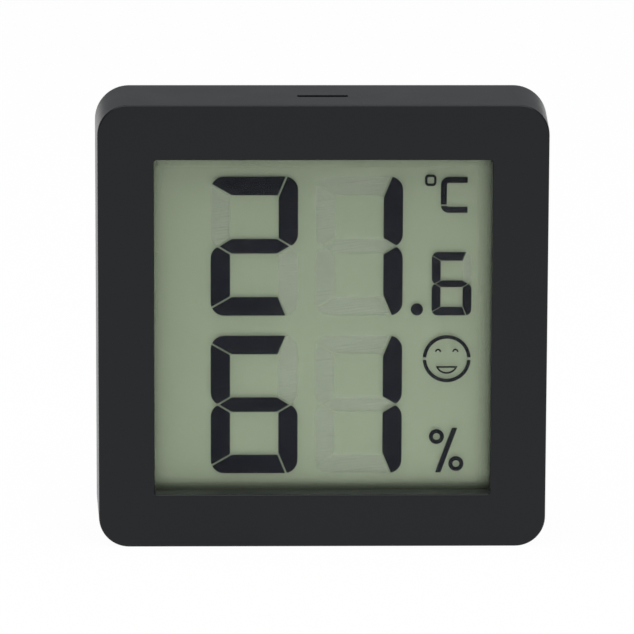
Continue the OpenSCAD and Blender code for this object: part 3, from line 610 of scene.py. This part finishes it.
def film_surface(sheet, base, window):
    """A satin film that throws light back, with painted shade next to the window's edges and a slope of
    painted shade darker towards the top.
    """
    weave = sheet.noise(size=0.00025, detail=3.0)
    cloud = sheet.noise(size=0.012)
    x, z = sheet.along("X"), sheet.along("Z")
    sides = {
        "low": (z, window.low), "high": (z, window.high),
        "left": (x, -window.half), "right": (x, window.half),
    }
    # Painted shade: the film's colour is scaled down next to the window's edges and towards the top, where
    # the bezel keeps the light off.
    edges = sheet.ramp(z, window.high, window.low, FILM_TOP_PAINTED_SHADE)
    for side, start, end, least in FILM_EDGE_PAINTED_SHADES:
        axis, edge = sides[side]
        edges = edges * sheet.ramp(axis, edge + start, edge + end, least)
    film = sheet.tone(0.5 * weave + 0.5 * cloud, base, spread=0.02)
    return sheet.surface({
        # The film's colour times the painted shade
        "Base Color": sheet.add("ShaderNodeVectorMath", {"operation": "SCALE"}, {0: film, "Scale": edges}),
        "Metallic": 0.55,
        "Roughness": 0.34 + 0.05 * (weave - 0.5),
        "Normal": sheet.bump(weave, depth=0.00001, strength=0.1),
    })


def reflector(name, base, window):
    """The film behind the display, with painted shade next to the window's edges."""
    sheet = sheet_for(name)
    return sheet.finish(film_surface(sheet, base, window))


def frosted_plate(name, tint, frost, base, window):
    """The display's rear plate: clear, with a frosted front side that throws back a share of the light and
    carries the film's painted shade.
    """
    sheet = sheet_for(name)
    front_side = sheet.ramp(sheet.along("Y"), PLATE_HIGH.y, PLATE_LOW.y, 0.0)
    return sheet.finish(sheet.mix(frost * front_side, sheet.clear(tint), film_surface(sheet, base, window)))


def segment_ink(name, base):
    """A segment that is on: dark, and not quite dense."""
    sheet = sheet_for(name)
    cloud = sheet.noise(size=0.004)
    return sheet.finish(sheet.surface({
        "Base Color": sheet.tone(cloud, base, spread=0.1),
        "Roughness": 0.6,
        "Specular IOR Level": 0.1,
        "Alpha": 0.8,
    }))


def segment_ghost(name, base):
    """A segment that is off: a faint tint."""
    sheet = sheet_for(name)
    cloud = sheet.noise(size=0.004)
    clear = sheet.clear(IDLE_CLEAR)
    tint = sheet.surface({
        "Base Color": sheet.tone(cloud, base, spread=0.05),
        "Roughness": 0.6,
        "Specular IOR Level": 0.1,
    })
    share = 0.005 + 0.005 * cloud
    return sheet.finish(sheet.mix(share, clear, tint))


def striped_rubber(name, base):
    """Silicone strip with dark conducting layers across it."""
    sheet = sheet_for(name)
    layers = sheet.add("ShaderNodeTexWave", None, {
        "Vector": sheet.place(), "Scale": 1700, "Distortion": 0.0,
    })
    carbon = (0.03, 0.03, 0.0315)
    return sheet.finish(sheet.surface({
        "Base Color": sheet.blend(layers, (0.45, carbon), (0.55, base)),
        "Roughness": 0.6,
    }))


def solder_mask(name, base):
    """Coated board with copper tracks that show through the coating."""
    sheet = sheet_for(name)
    tracks = sheet.add(
        "ShaderNodeTexVoronoi", {"feature": "DISTANCE_TO_EDGE", "distance": "EUCLIDEAN"},
        {"Vector": sheet.place(stretch=(1, 0, 1)), "Scale": 260},
    )
    over_copper = tuple(min(1, 1.9 * c + 0.006) for c in base)
    return sheet.finish(sheet.surface({
        "Base Color": sheet.blend(tracks, (0.05, over_copper), (0.08, base)),
        "Roughness": 0.35,
        "Normal": sheet.bump(tracks, depth=0.00002, strength=0.2),
    }))


def dress(finish, *names):
    """Puts a finish on nodes of the frame that are shown as they are."""
    for name in names:
        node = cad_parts[name]
        if not node.material_slots:
            node.data.materials.append(finish)
        for slot in node.material_slots:
            slot.material = finish


# Pieces


def ring_layer(mesh):
    """The layer that keeps the number of the ring a corner belongs to."""
    return mesh.verts.layers.int.get("ring") or mesh.verts.layers.int.new("ring")


def pick_rings(piece, *numbers):
    """Selects the edges that run along the numbered rings of the open piece."""
    layer = ring_layer(bmesh.from_edit_mesh(piece.data))

    def along(edge):
        first, second = (v[layer] for v in edge.verts)
        return first == second and first in numbers

    pick(piece, "EDGE", along)


def add_ring(piece, outline, y, number):
    """Adds one round-cornered ring of edges and gives its corners their number."""
    rounded_sheet(outline, y)
    bpy.ops.mesh.delete(type="ONLY_FACE")
    mesh = bmesh.from_edit_mesh(piece.data)
    layer = ring_layer(mesh)
    for corner in mesh.verts:
        if corner[layer] == 0:
            corner[layer] = number
    bmesh.update_edit_mesh(piece.data)


def window_outline(size):
    """The window's outline: the film's, less its laps behind the bezel."""
    low, high = FILM_LOW.z + size.lap_end, FILM_HIGH.z - size.lap_end
    return Outline(FILM_HIGH.x - size.lap_side, low, high, size.window_corner)


def case_plastic():
    """The finish that the shell and both covers share."""
    base = bpy.context.scene.meter_colours.case
    made = bpy.data.materials.get("case_finish")
    return made or moulded("case_finish", base, roughness=0.32, grain=0.00018, specular=0.25, relief=0.04)


class METER_OT_shell(bpy.types.Operator):
    """Models the front shell: face, window, walls, rear rim, vent slot, bosses and posts"""

    bl_idname = "meter.shell"
    bl_label = "Front shell"

    def execute(self, context):
        size = context.scene.meter_shell
        rear = context.scene.meter_rear
        half, side = size.front_side / 2, size.front_side
        grow = CASE_HIGH.x - half
        gap = rear.cover_gap
        face = Outline(half, 0, side, size.corner)
        grown = Outline(half + grow, -grow, side + grow, size.corner + grow)
        rim = Outline(COVER_HIGH.x + gap, COVER_LOW.z - gap, COVER_HIGH.z + gap, rear.cover_corner + gap)
        hollow = Outline(half - size.wall, size.wall, side - size.wall, size.corner - size.wall)
        window = window_outline(size)
        ledge = REAR - rear.cover_thickness
        rings = [
            (window, FRONT), (face, FRONT), (grown, REAR), (rim, REAR),
            (rim, ledge), (hollow, ledge), (hollow, BEZEL_REAR), (window, BEZEL_REAR),
        ]
        window_edge, face_edge, rear_edge, rim_edge = 1, 2, 3, 4

        shell = open_piece("front_shell")
        for number, (outline, y) in enumerate(rings, 1):
            add_ring(shell, outline, y, number)
        pick(shell, "VERT", lambda v: v.co.z < 0)
        bpy.ops.transform.resize(value=(1, 1, 0), center_override=(0, 0, 0))
        flat_pairs = range(1, len(rings), 2)
        wall_pairs = range(2, len(rings) + 1, 2)
        for number in (*flat_pairs, *wall_pairs):
            pick_rings(shell, number, number % len(rings) + 1)
            bpy.ops.mesh.bridge_edge_loops()
        bpy.ops.mesh.select_all(action="SELECT")
        bpy.ops.mesh.normals_make_consistent(inside=False)
        for number, amount in (
            (face_edge, size.front_fillet), (window_edge, size.window_fillet),
            (rear_edge, size.rear_fillet), (rim_edge, size.rim_fillet),
        ):
            pick_rings(shell, number)
            bpy.ops.mesh.bevel(offset=amount, segments=FILLET_STEPS, affect="EDGES")
        self.add_bosses(shell, size, rear)
        self.cut_vent(shell, size)
        close_piece(shell, case_plastic(), "case_plastic", "case", "front_case")
        shell.data.attributes.remove(shell.data.attributes["ring"])
        return {"FINISHED"}

    def add_bosses(self, shell, size, rear):
        """Joins the screw bosses and the board posts to the walls, and bores them."""
        corners = screw_places(rear)
        boss_rear = pad_front(rear)
        boss_front = boss_rear - size.boss_length
        posts = post_places(size)
        bore = rear.shank_radius + TOUCH
        combine(shell, "UNION", drums(corners, size.boss_radius, boss_front, boss_rear))
        combine(shell, "UNION", drums(posts, size.post_radius, BEZEL_REAR - TOUCH, BOARD_FRONT))
        combine(shell, "DIFFERENCE", drums(corners, bore, SCREWS_LOW.y, boss_rear + PAST))

    def cut_vent(self, shell, size):
        """Cuts the slot through the top wall and rounds its upper edge."""
        middle = BOARD_FRONT - size.vent_front
        top = CASE_HIGH.z

        def slot():
            centre = (0, middle, top + PAST)
            bpy.ops.mesh.primitive_plane_add(size=1, location=centre)
            bpy.ops.transform.resize(value=(size.vent_width, size.vent_depth, 1), center_override=centre)
            bpy.ops.mesh.bevel(offset=size.vent_corner, segments=SLOT_STEPS, affect="VERTICES")
            push((0, 0, -2 * size.wall - 2 * PAST))

        combine(shell, "DIFFERENCE", slot)
        reach_x, reach_y = size.vent_width / 2 + TOUCH, size.vent_depth / 2 + TOUCH

        def at_mouth(p):
            return p.z > size.front_side - PAST / 2 and abs(p.x) < reach_x and abs(p.y - middle) < reach_y

        fillet(shell, size.vent_fillet, sharp_at(at_mouth), VENT_STEPS)


def pad_front(rear):
    """The depth at which the rear cover's corner pads meet the shell's bosses."""
    return REAR - rear.cover_thickness - rear.pad_height


def screw_places(rear):
    """Where the rear screws stand: x and z of each."""
    x = SCREWS_HIGH.x - rear.head_radius
    low, high = SCREWS_LOW.z + rear.head_radius, SCREWS_HIGH.z - rear.head_radius
    return [(side * x, z) for side in (-1, 1) for z in (low, high)]


def post_places(size):
    """Where the board's screws stand: x and z of each."""
    head = size.post_head
    x = POSTS_HIGH.x - head
    return [(side * x, z) for side in (-1, 1) for z in (POSTS_LOW.z + head, POSTS_HIGH.z - head)]


class METER_OT_rear_cover(bpy.types.Operator):
    """Models the rear cover: plate, cell well, bayonet, screw recesses, button hole and marks"""

    bl_idname = "meter.rear_cover"
    bl_label = "Rear cover"

    def execute(self, context):
        size = context.scene.meter_rear
        plate_front = REAR - size.cover_thickness
        disc_front = REAR - size.disc_thickness
        track_front = DOOR_LOW.y - size.lug_gap
        neck = DOOR_HIGH.x - size.neck_inset
        track = neck + size.lug_reach + size.play
        well = CELL_RADIUS + size.well_play
        z = DOOR_CENTRE.z
        pads = pad_front(size)
        seat = SCREWS_HIGH.y - size.head_height
        corners = screw_places(size)
        edge = size.cover_fillet
        mouth = REAR - edge

        cover = open_piece("rear_plate")
        rounded_sheet(Outline(COVER_HIGH.x, COVER_LOW.z, COVER_HIGH.z, size.cover_corner), plate_front)
        push((0, size.cover_thickness, 0))
        fillet(cover, edge, sharp_at(lambda p: p.y > REAR - TOUCH))
        combine(cover, "UNION", lambda: stepped_drum(0, z, [
            (well + size.collar_wall, COVER_LOW.y, track_front - size.track_floor),
            (track + size.collar_wall, track_front - size.track_floor, plate_front + TOUCH),
        ]))
        combine(cover, "UNION", drums(corners, size.pad_radius, pads, plate_front + TOUCH))
        combine(cover, "DIFFERENCE", lambda: stepped_drum(0, z, [
            (well, COVER_LOW.y - PAST, track_front),
            (track, track_front, plate_front),
            (neck + size.play, plate_front, disc_front),
            (DOOR_HIGH.x + size.play, disc_front, mouth),
        ], ROUND_SIDES, edge))
        combine(cover, "DIFFERENCE", *(
            lambda x=x, h=h: stepped_drum(x, h, [
                (size.shank_radius + size.play, pads - PAST, seat),
                (size.head_radius + size.play, seat, mouth),
            ], SMALL_SIDES, edge)
            for x, h in corners
        ))
        combine(cover, "DIFFERENCE", lambda: stepped_drum(BUTTON_CENTRE.x, BUTTON_CENTRE.z, [
            (size.button_stem + size.play, plate_front - PAST, mouth),
        ], ROUND_SIDES, edge))
        self.cut_marks(cover, size)
        close_piece(cover, case_plastic(), "case_plastic", "case", "rear_cover")
        return {"FINISHED"}

    def cut_marks(self, cover, size):
        """Sinks a dot for the closed place and a ring for the open place of the battery cover."""
        reach = DOOR_HIGH.x + MARK_REACH * size.mark_radius
        low = REAR - size.mark_depth

        def dot():
            drum(0, DOOR_CENTRE.z + reach, size.mark_radius, low, REAR + PAST, SMALL_SIDES)

        def ring():
            x = reach * math.sin(size.open_turn)
            z = DOOR_CENTRE.z + reach * math.cos(size.open_turn)
            drum(x, z, RING_RADIUS * size.mark_radius, low, REAR + PAST, SMALL_SIDES)
            pick(bpy.context.edit_object, "FACE", facing((0, -1, 0), lambda m: m.x > x - TOUCH))
            bpy.ops.mesh.inset(thickness=RING_WIDTH * size.mark_radius)
            push((0, size.mark_depth + PAST / 2, 0))

        combine(cover, "DIFFERENCE", dot)
        combine(cover, "DIFFERENCE", ring)


class METER_OT_battery_cover(bpy.types.Operator):
    """Models the battery cover: disc, coin slot, pointer, neck and bayonet lugs"""

    bl_idname = "meter.battery_cover"
    bl_label = "Battery cover"

    def execute(self, context):
        size = context.scene.meter_rear
        radius = DOOR_HIGH.x
        neck = radius - size.neck_inset
        disc_front = REAR - size.disc_thickness
        lug_rear = DOOR_LOW.y + size.lug_height
        height = DOOR_CENTRE.z

        def reach(p):
            return math.hypot(p.x, p.z - height)

        def turn(p):
            return math.atan2(p.z - height, p.x)

        door = open_piece("battery_door_cover")
        drum(0, height, radius, disc_front, REAR, DOOR_SIDES)
        pick(door, "FACE", facing((0, -1, 0)))
        bpy.ops.mesh.inset(thickness=radius - neck)
        bpy.ops.mesh.inset(thickness=size.neck_wall)
        pick(door, "FACE", facing((0, -1, 0), lambda m: neck - size.neck_wall < reach(m) < neck))
        push((0, lug_rear - disc_front, 0))
        push((0, DOOR_LOW.y - lug_rear, 0))
        pitch = 2 * math.pi / size.lug_count

        def on_lug(face):
            middle = face.calc_center_median()
            off = (turn(middle) + pitch / 2) % pitch - pitch / 2
            outer = abs(face.normal.y) < UPRIGHT and reach(middle) > neck - 5 * TOUCH
            return outer and middle.y < lug_rear and abs(off) < size.lug_angle / 2

        pick(door, "FACE", on_lug)
        bpy.ops.mesh.extrude_region_shrink_fatten(TRANSFORM_OT_shrink_fatten={"value": size.lug_reach})

        def coin_slot():
            middle = (0, REAR + PAST, height)
            bpy.ops.mesh.primitive_plane_add(size=1, location=middle, rotation=(math.pi / 2, 0, 0))
            bpy.ops.transform.resize(value=(size.coin_length, 1, size.coin_width), center_override=middle)
            bpy.ops.mesh.bevel(offset=COIN_CORNER * size.coin_width, segments=SLOT_STEPS, affect="VERTICES")
            push((0, -PAST - size.coin_depth, 0))

        def pointer():
            middle = (0, REAR, height + radius - POINTER_REACH * size.mark_radius)
            bpy.ops.mesh.primitive_cylinder_add(
                vertices=3, radius=POINTER_RADIUS * size.mark_radius, depth=2 * size.mark_depth,
                location=middle, rotation=(math.pi / 2, 0, 0),
            )

        combine(door, "DIFFERENCE", coin_slot, pointer)

        def at_rim_or_slot(p):
            in_slot = abs(p.z - height) < size.coin_width
            return p.y > REAR - TOUCH and (reach(p) > radius - TOUCH or in_slot)

        fillet(door, size.disc_fillet, sharp_at(at_rim_or_slot))
        close_piece(door, case_plastic(), "case_plastic", "battery_door", "battery_cover")
        return {"FINISHED"}


class METER_OT_unit_button(bpy.types.Operator):
    """Models the unit button: flange, stem with a round edge and a hollow top"""

    bl_idname = "meter.unit_button"
    bl_label = "Unit button"

    def execute(self, context):
        size = context.scene.meter_rear
        x, z = BUTTON_CENTRE.x, BUTTON_CENTRE.z
        flange = BUTTON_HIGH.x - x
        flange_rear = BUTTON_LOW.y + size.button_flange
        top = BUTTON_HIGH.y

        button = open_piece("unit_push_button")
        drum(x, z, flange, BUTTON_LOW.y, flange_rear)
        pick(button, "FACE", facing((0, 1, 0)))
        bpy.ops.mesh.inset(thickness=flange - size.button_stem)
        push((0, top - flange_rear, 0))
        fillet(button, size.button_fillet, sharp_at(lambda p: p.y > top - TOUCH), DISH_STEPS)
        pick(button, "FACE", facing((0, 1, 0), lambda m: m.y > top - TOUCH))
        pitch = DISH_REACH * (size.button_stem - size.button_fillet) / DISH_STEPS
        for step in range(1, DISH_STEPS + 1):
            start, end = math.pi * (step - 1) / DISH_STEPS, math.pi * step / DISH_STEPS
            bpy.ops.mesh.inset(thickness=pitch)
            sink = size.button_dish * (math.cos(start) - math.cos(end)) / 2
            bpy.ops.transform.translate(value=(0, -sink, 0))
        base = context.scene.meter_colours.button
        finish = moulded("button_finish", base, roughness=0.38, grain=0.0004, specular=0.4, relief=0.05)
        close_piece(button, finish, "button_plastic", "button", "unit_button")
        dress(finish, "switch_plunger")
        return {"FINISHED"}


class METER_OT_rear_screws(bpy.types.Operator):
    """Models one rear screw with a round head and a cross recess, and copies it to each corner"""

    bl_idname = "meter.rear_screws"
    bl_label = "Rear screws"

    def execute(self, context):
        size = context.scene.meter_rear
        shades = context.scene.meter_colours
        places = screw_places(size)
        x, z = places[0]
        top = SCREWS_HIGH.y
        seat = top - size.head_height

        screw = open_piece("rear_screw_1")
        drum(x, z, size.head_radius, seat, top, SMALL_SIDES)
        pick(screw, "FACE", facing((0, -1, 0)))
        bpy.ops.mesh.inset(thickness=size.head_radius - size.shank_radius)
        push((0, SCREWS_LOW.y - seat, 0))
        tip = TIP_ROUND * size.shank_radius
        fillet(screw, tip, sharp_at(lambda p: p.y < SCREWS_LOW.y + TOUCH), TIP_STEPS)
        fillet(screw, size.head_fillet, sharp_at(lambda p: p.y > top - TOUCH), HEAD_STEPS)

        def bar(turned_over):
            wide, thin, deep = size.cross_length, size.cross_width, 2 * size.cross_depth
            middle = (x, top, z)
            bpy.ops.mesh.primitive_cube_add(size=1, location=middle)
            across = (thin, deep, wide) if turned_over else (wide, deep, thin)
            bpy.ops.transform.resize(value=across, center_override=middle)

        combine(screw, "DIFFERENCE", lambda: bar(False))
        combine(screw, "DIFFERENCE", lambda: bar(True))
        finish = plated("nickel_finish", shades.nickel, roughness=0.32, stretch=(1, 0.1, 1))
        close_piece(screw, finish, "steel", "case", "rear_screws")
        for number, (there_x, there_z) in enumerate(places[1:], 2):
            twin = screw.copy()
            twin.data = screw.data.copy()
            twin.name = twin.data.name = f"rear_screw_{number}"
            twin.data.transform(Matrix.Translation((there_x - x, 0, there_z - z)))
            context.collection.objects.link(twin)
        dress(finish, "board_screws", "switch_body", "crystal")
        return {"FINISHED"}


class METER_OT_display(bpy.types.Operator):
    """Finishes the display: film, glass, seal, reflector and segments"""

    bl_idname = "meter.display"
    bl_label = "Display"

    def execute(self, context):
        shades = context.scene.meter_colours
        film = clear_plate("front_film_finish", shades.glass, gloss=0.014, roughness=0.35)
        dress(film, "lcd_front_polarizer")
        window = window_outline(context.scene.meter_shell)
        # The front glass carries painted shade below this line.
        border = window.low - BORDER_DROP
        glass = clear_plate("glass_finish", shades.glass, gloss=0.004, roughness=0.1, border=border)
        dress(glass, "lcd_front_glass")
        frosted = frosted_plate("frosted_finish", shades.glass, frost=0.4, base=shades.display, window=window)
        dress(frosted, "lcd_rear_glass")
        dress(reflector("reflector_finish", shades.display, window), "lcd_reflector")
        dress(fired("seal_finish", shades.seal, roughness=0.4, grain=0.0005), "lcd_seal")
        dress(
            segment_ink("lit_finish", shades.lit),
            "lcd_temperature_segments", "lcd_humidity_segments", "lcd_unit_symbols", "lcd_comfort_face",
        )
        dress(segment_ghost("idle_finish", shades.idle), "lcd_idle_segments")
        return {"FINISHED"}


class METER_OT_inside(bpy.types.Operator):
    """Finishes the pieces inside: holder, connector strips, board, parts, contacts and coin cell"""

    bl_idname = "meter.inside"
    bl_label = "Inside pieces"

    def execute(self, context):
        shades = context.scene.meter_colours
        holder = moulded("holder_finish", shades.holder, roughness=0.5, grain=0.0003, specular=0.4)
        dress(holder, "display_frame")
        dress(striped_rubber("rubber_finish", shades.rubber), "zebra_upper", "zebra_lower")
        dress(solder_mask("board_finish", shades.mask), "circuit_board")
        epoxy = fired("epoxy_finish", shades.epoxy, roughness=0.3, grain=0.0006, coat=0.3)
        dress(epoxy, "controller_chip", "resistors", "thermistor")
        dress(fired("capacitor_finish", shades.capacitor, roughness=0.45, grain=0.0003), "capacitors")
        sensor = fired("sensor_finish", shades.ceramic, roughness=0.5, grain=0.0003, spread=0.04)
        dress(sensor, "humidity_sensor")
        spring = plated("spring_finish", shades.spring, roughness=0.3, stretch=(0.1, 1, 1))
        dress(spring, "battery_contact_positive", "battery_contact_negative")
        dress(turned("cell_finish", shades.cell, roughness=0.3, centre=DOOR_CENTRE), "cell_can", "cell_cap")
        gasket = moulded("gasket_finish", shades.gasket, roughness=0.45, grain=0.0004, specular=0.4)
        dress(gasket, "cell_gasket")
        return {"FINISHED"}


class METER_OT_stage(bpy.types.Operator):
    """Sets the floor, the room light, the two soft lights and the camera"""

    bl_idname = "meter.stage"
    bl_label = "Stage"

    def execute(self, context):
        stage = context.scene.meter_stage
        self.floor(stage)
        self.room(context.scene, stage)
        self.soft_light("overhead_light", OVERHEAD_PLACE, OVERHEAD_SIDE, stage.overhead_power)
        self.soft_light("front_light", FRONT_PLACE, FRONT_SIDE, stage.front_power)
        self.camera(context.scene, stage)
        context.scene.view_settings.view_transform = "Standard"
        context.scene.cycles.transparent_max_bounces = CLEAR_BOUNCES
        return {"FINISHED"}

    def floor(self, stage):
        """A white floor that is seen white and still takes the shadow."""
        floor = open_piece("floor")
        bpy.ops.mesh.primitive_plane_add(size=stage.floor_side)
        bpy.ops.object.mode_set(mode="OBJECT")
        sheet = sheet_for("floor_finish")
        camera, glossy, clear = (
            sheet.add("ShaderNodeLightPath", output=f"Is {kind} Ray")
            for kind in ("Camera", "Glossy", "Transmission")
        )
        seen = camera + glossy + clear
        shade = sheet.tone(sheet.noise(size=0.3), PAPER, spread=0.004)
        paper = sheet.add("ShaderNodeBsdfDiffuse", None, {"Color": shade})
        glow = sheet.add("ShaderNodeEmission", None, {"Color": (1, 1, 1, 1), "Strength": 1.0})
        floor.data.materials.append(sheet.finish(sheet.mix(stage.floor_white * seen, paper, glow)))
        return floor

    def room(self, scene, stage):
        """Even light from all round."""
        scene.world = bpy.data.worlds.new("room")
        sheet = Sheet(scene.world)
        sheet.add_end("ShaderNodeOutputWorld", sheet.add(
            "ShaderNodeBackground", None, {"Color": (*stage.room, 1), "Strength": 1.0}
        ))

    def soft_light(self, name, place, side, power):
        """A square soft light that looks at the object."""
        bpy.ops.object.light_add(type="AREA", location=place)
        light = bpy.context.active_object
        light.name = light.data.name = name
        light.data.size = side
        light.data.energy = power
        look = Vector((0, 0, CASE_HIGH.z / 2)) - Vector(place)
        light.rotation_mode = "QUATERNION"
        light.rotation_quaternion = look.to_track_quat("-Z", "Y")

    def camera(self, scene, stage):
        """The photograph's view: a long lens from a little above and a little to the left."""
        face = Vector((0, FRONT, scene.meter_shell.front_side / 2))
        flat = math.cos(stage.elevation)
        back = Vector((
            math.sin(stage.azimuth) * flat, -math.cos(stage.azimuth) * flat, math.sin(stage.elevation)
        ))
        place = face + back * stage.distance
        look = Vector((stage.aim_x, FRONT, stage.aim_z)) - place
        bpy.ops.object.camera_add(location=place)
        camera = bpy.context.active_object
        camera.name = "camera"
        camera.rotation_mode = "QUATERNION"
        camera.rotation_quaternion = look.to_track_quat("-Z", "Y") @ Quaternion((0, 0, 1), stage.roll)
        camera.data.lens = stage.focal
        camera.data.sensor_width = SENSOR_WIDTH
        camera.data.clip_start = NEAR_CLIP
        scene.camera = camera


class METER_PT_panel(bpy.types.Panel):
    """Lists the steps and the values of the room meter"""

    bl_idname = "METER_PT_panel"
    bl_label = "Room Meter"
    bl_space_type = "VIEW_3D"
    bl_region_type = "UI"
    bl_category = "Room Meter"

    def draw(self, context):
        for step in STEPS:
            self.layout.operator(step.bl_idname)
        for group in GROUPS:
            values = getattr(context.scene, group)
            box = self.layout.box()
            for name in values.bl_rna.properties.keys():
                if name not in ("rna_type", "name"):
                    box.prop(values, name)


GROUPS = {
    "meter_shell": ShellSizes,
    "meter_rear": RearSizes,
    "meter_colours": FinishColours,
    "meter_stage": StageSettings,
}
STEPS = (
    METER_OT_shell,
    METER_OT_rear_cover,
    METER_OT_battery_cover,
    METER_OT_unit_button,
    METER_OT_rear_screws,
    METER_OT_display,
    METER_OT_inside,
    METER_OT_stage,
)


def register():
    for group in (*GROUPS.values(), *STEPS, METER_PT_panel):
        bpy.utils.register_class(group)
    for name, group in GROUPS.items():
        setattr(bpy.types.Scene, name, bpy.props.PointerProperty(type=group))


def unregister():
    for name in GROUPS:
        delattr(bpy.types.Scene, name)
    for group in reversed((*GROUPS.values(), *STEPS, METER_PT_panel)):
        bpy.utils.unregister_class(group)


def main():
    register()
    for step in STEPS:
        family, name = step.bl_idname.split(".")
        getattr(getattr(bpy.ops, family), name)()


if __name__ == "__main__":
    main()
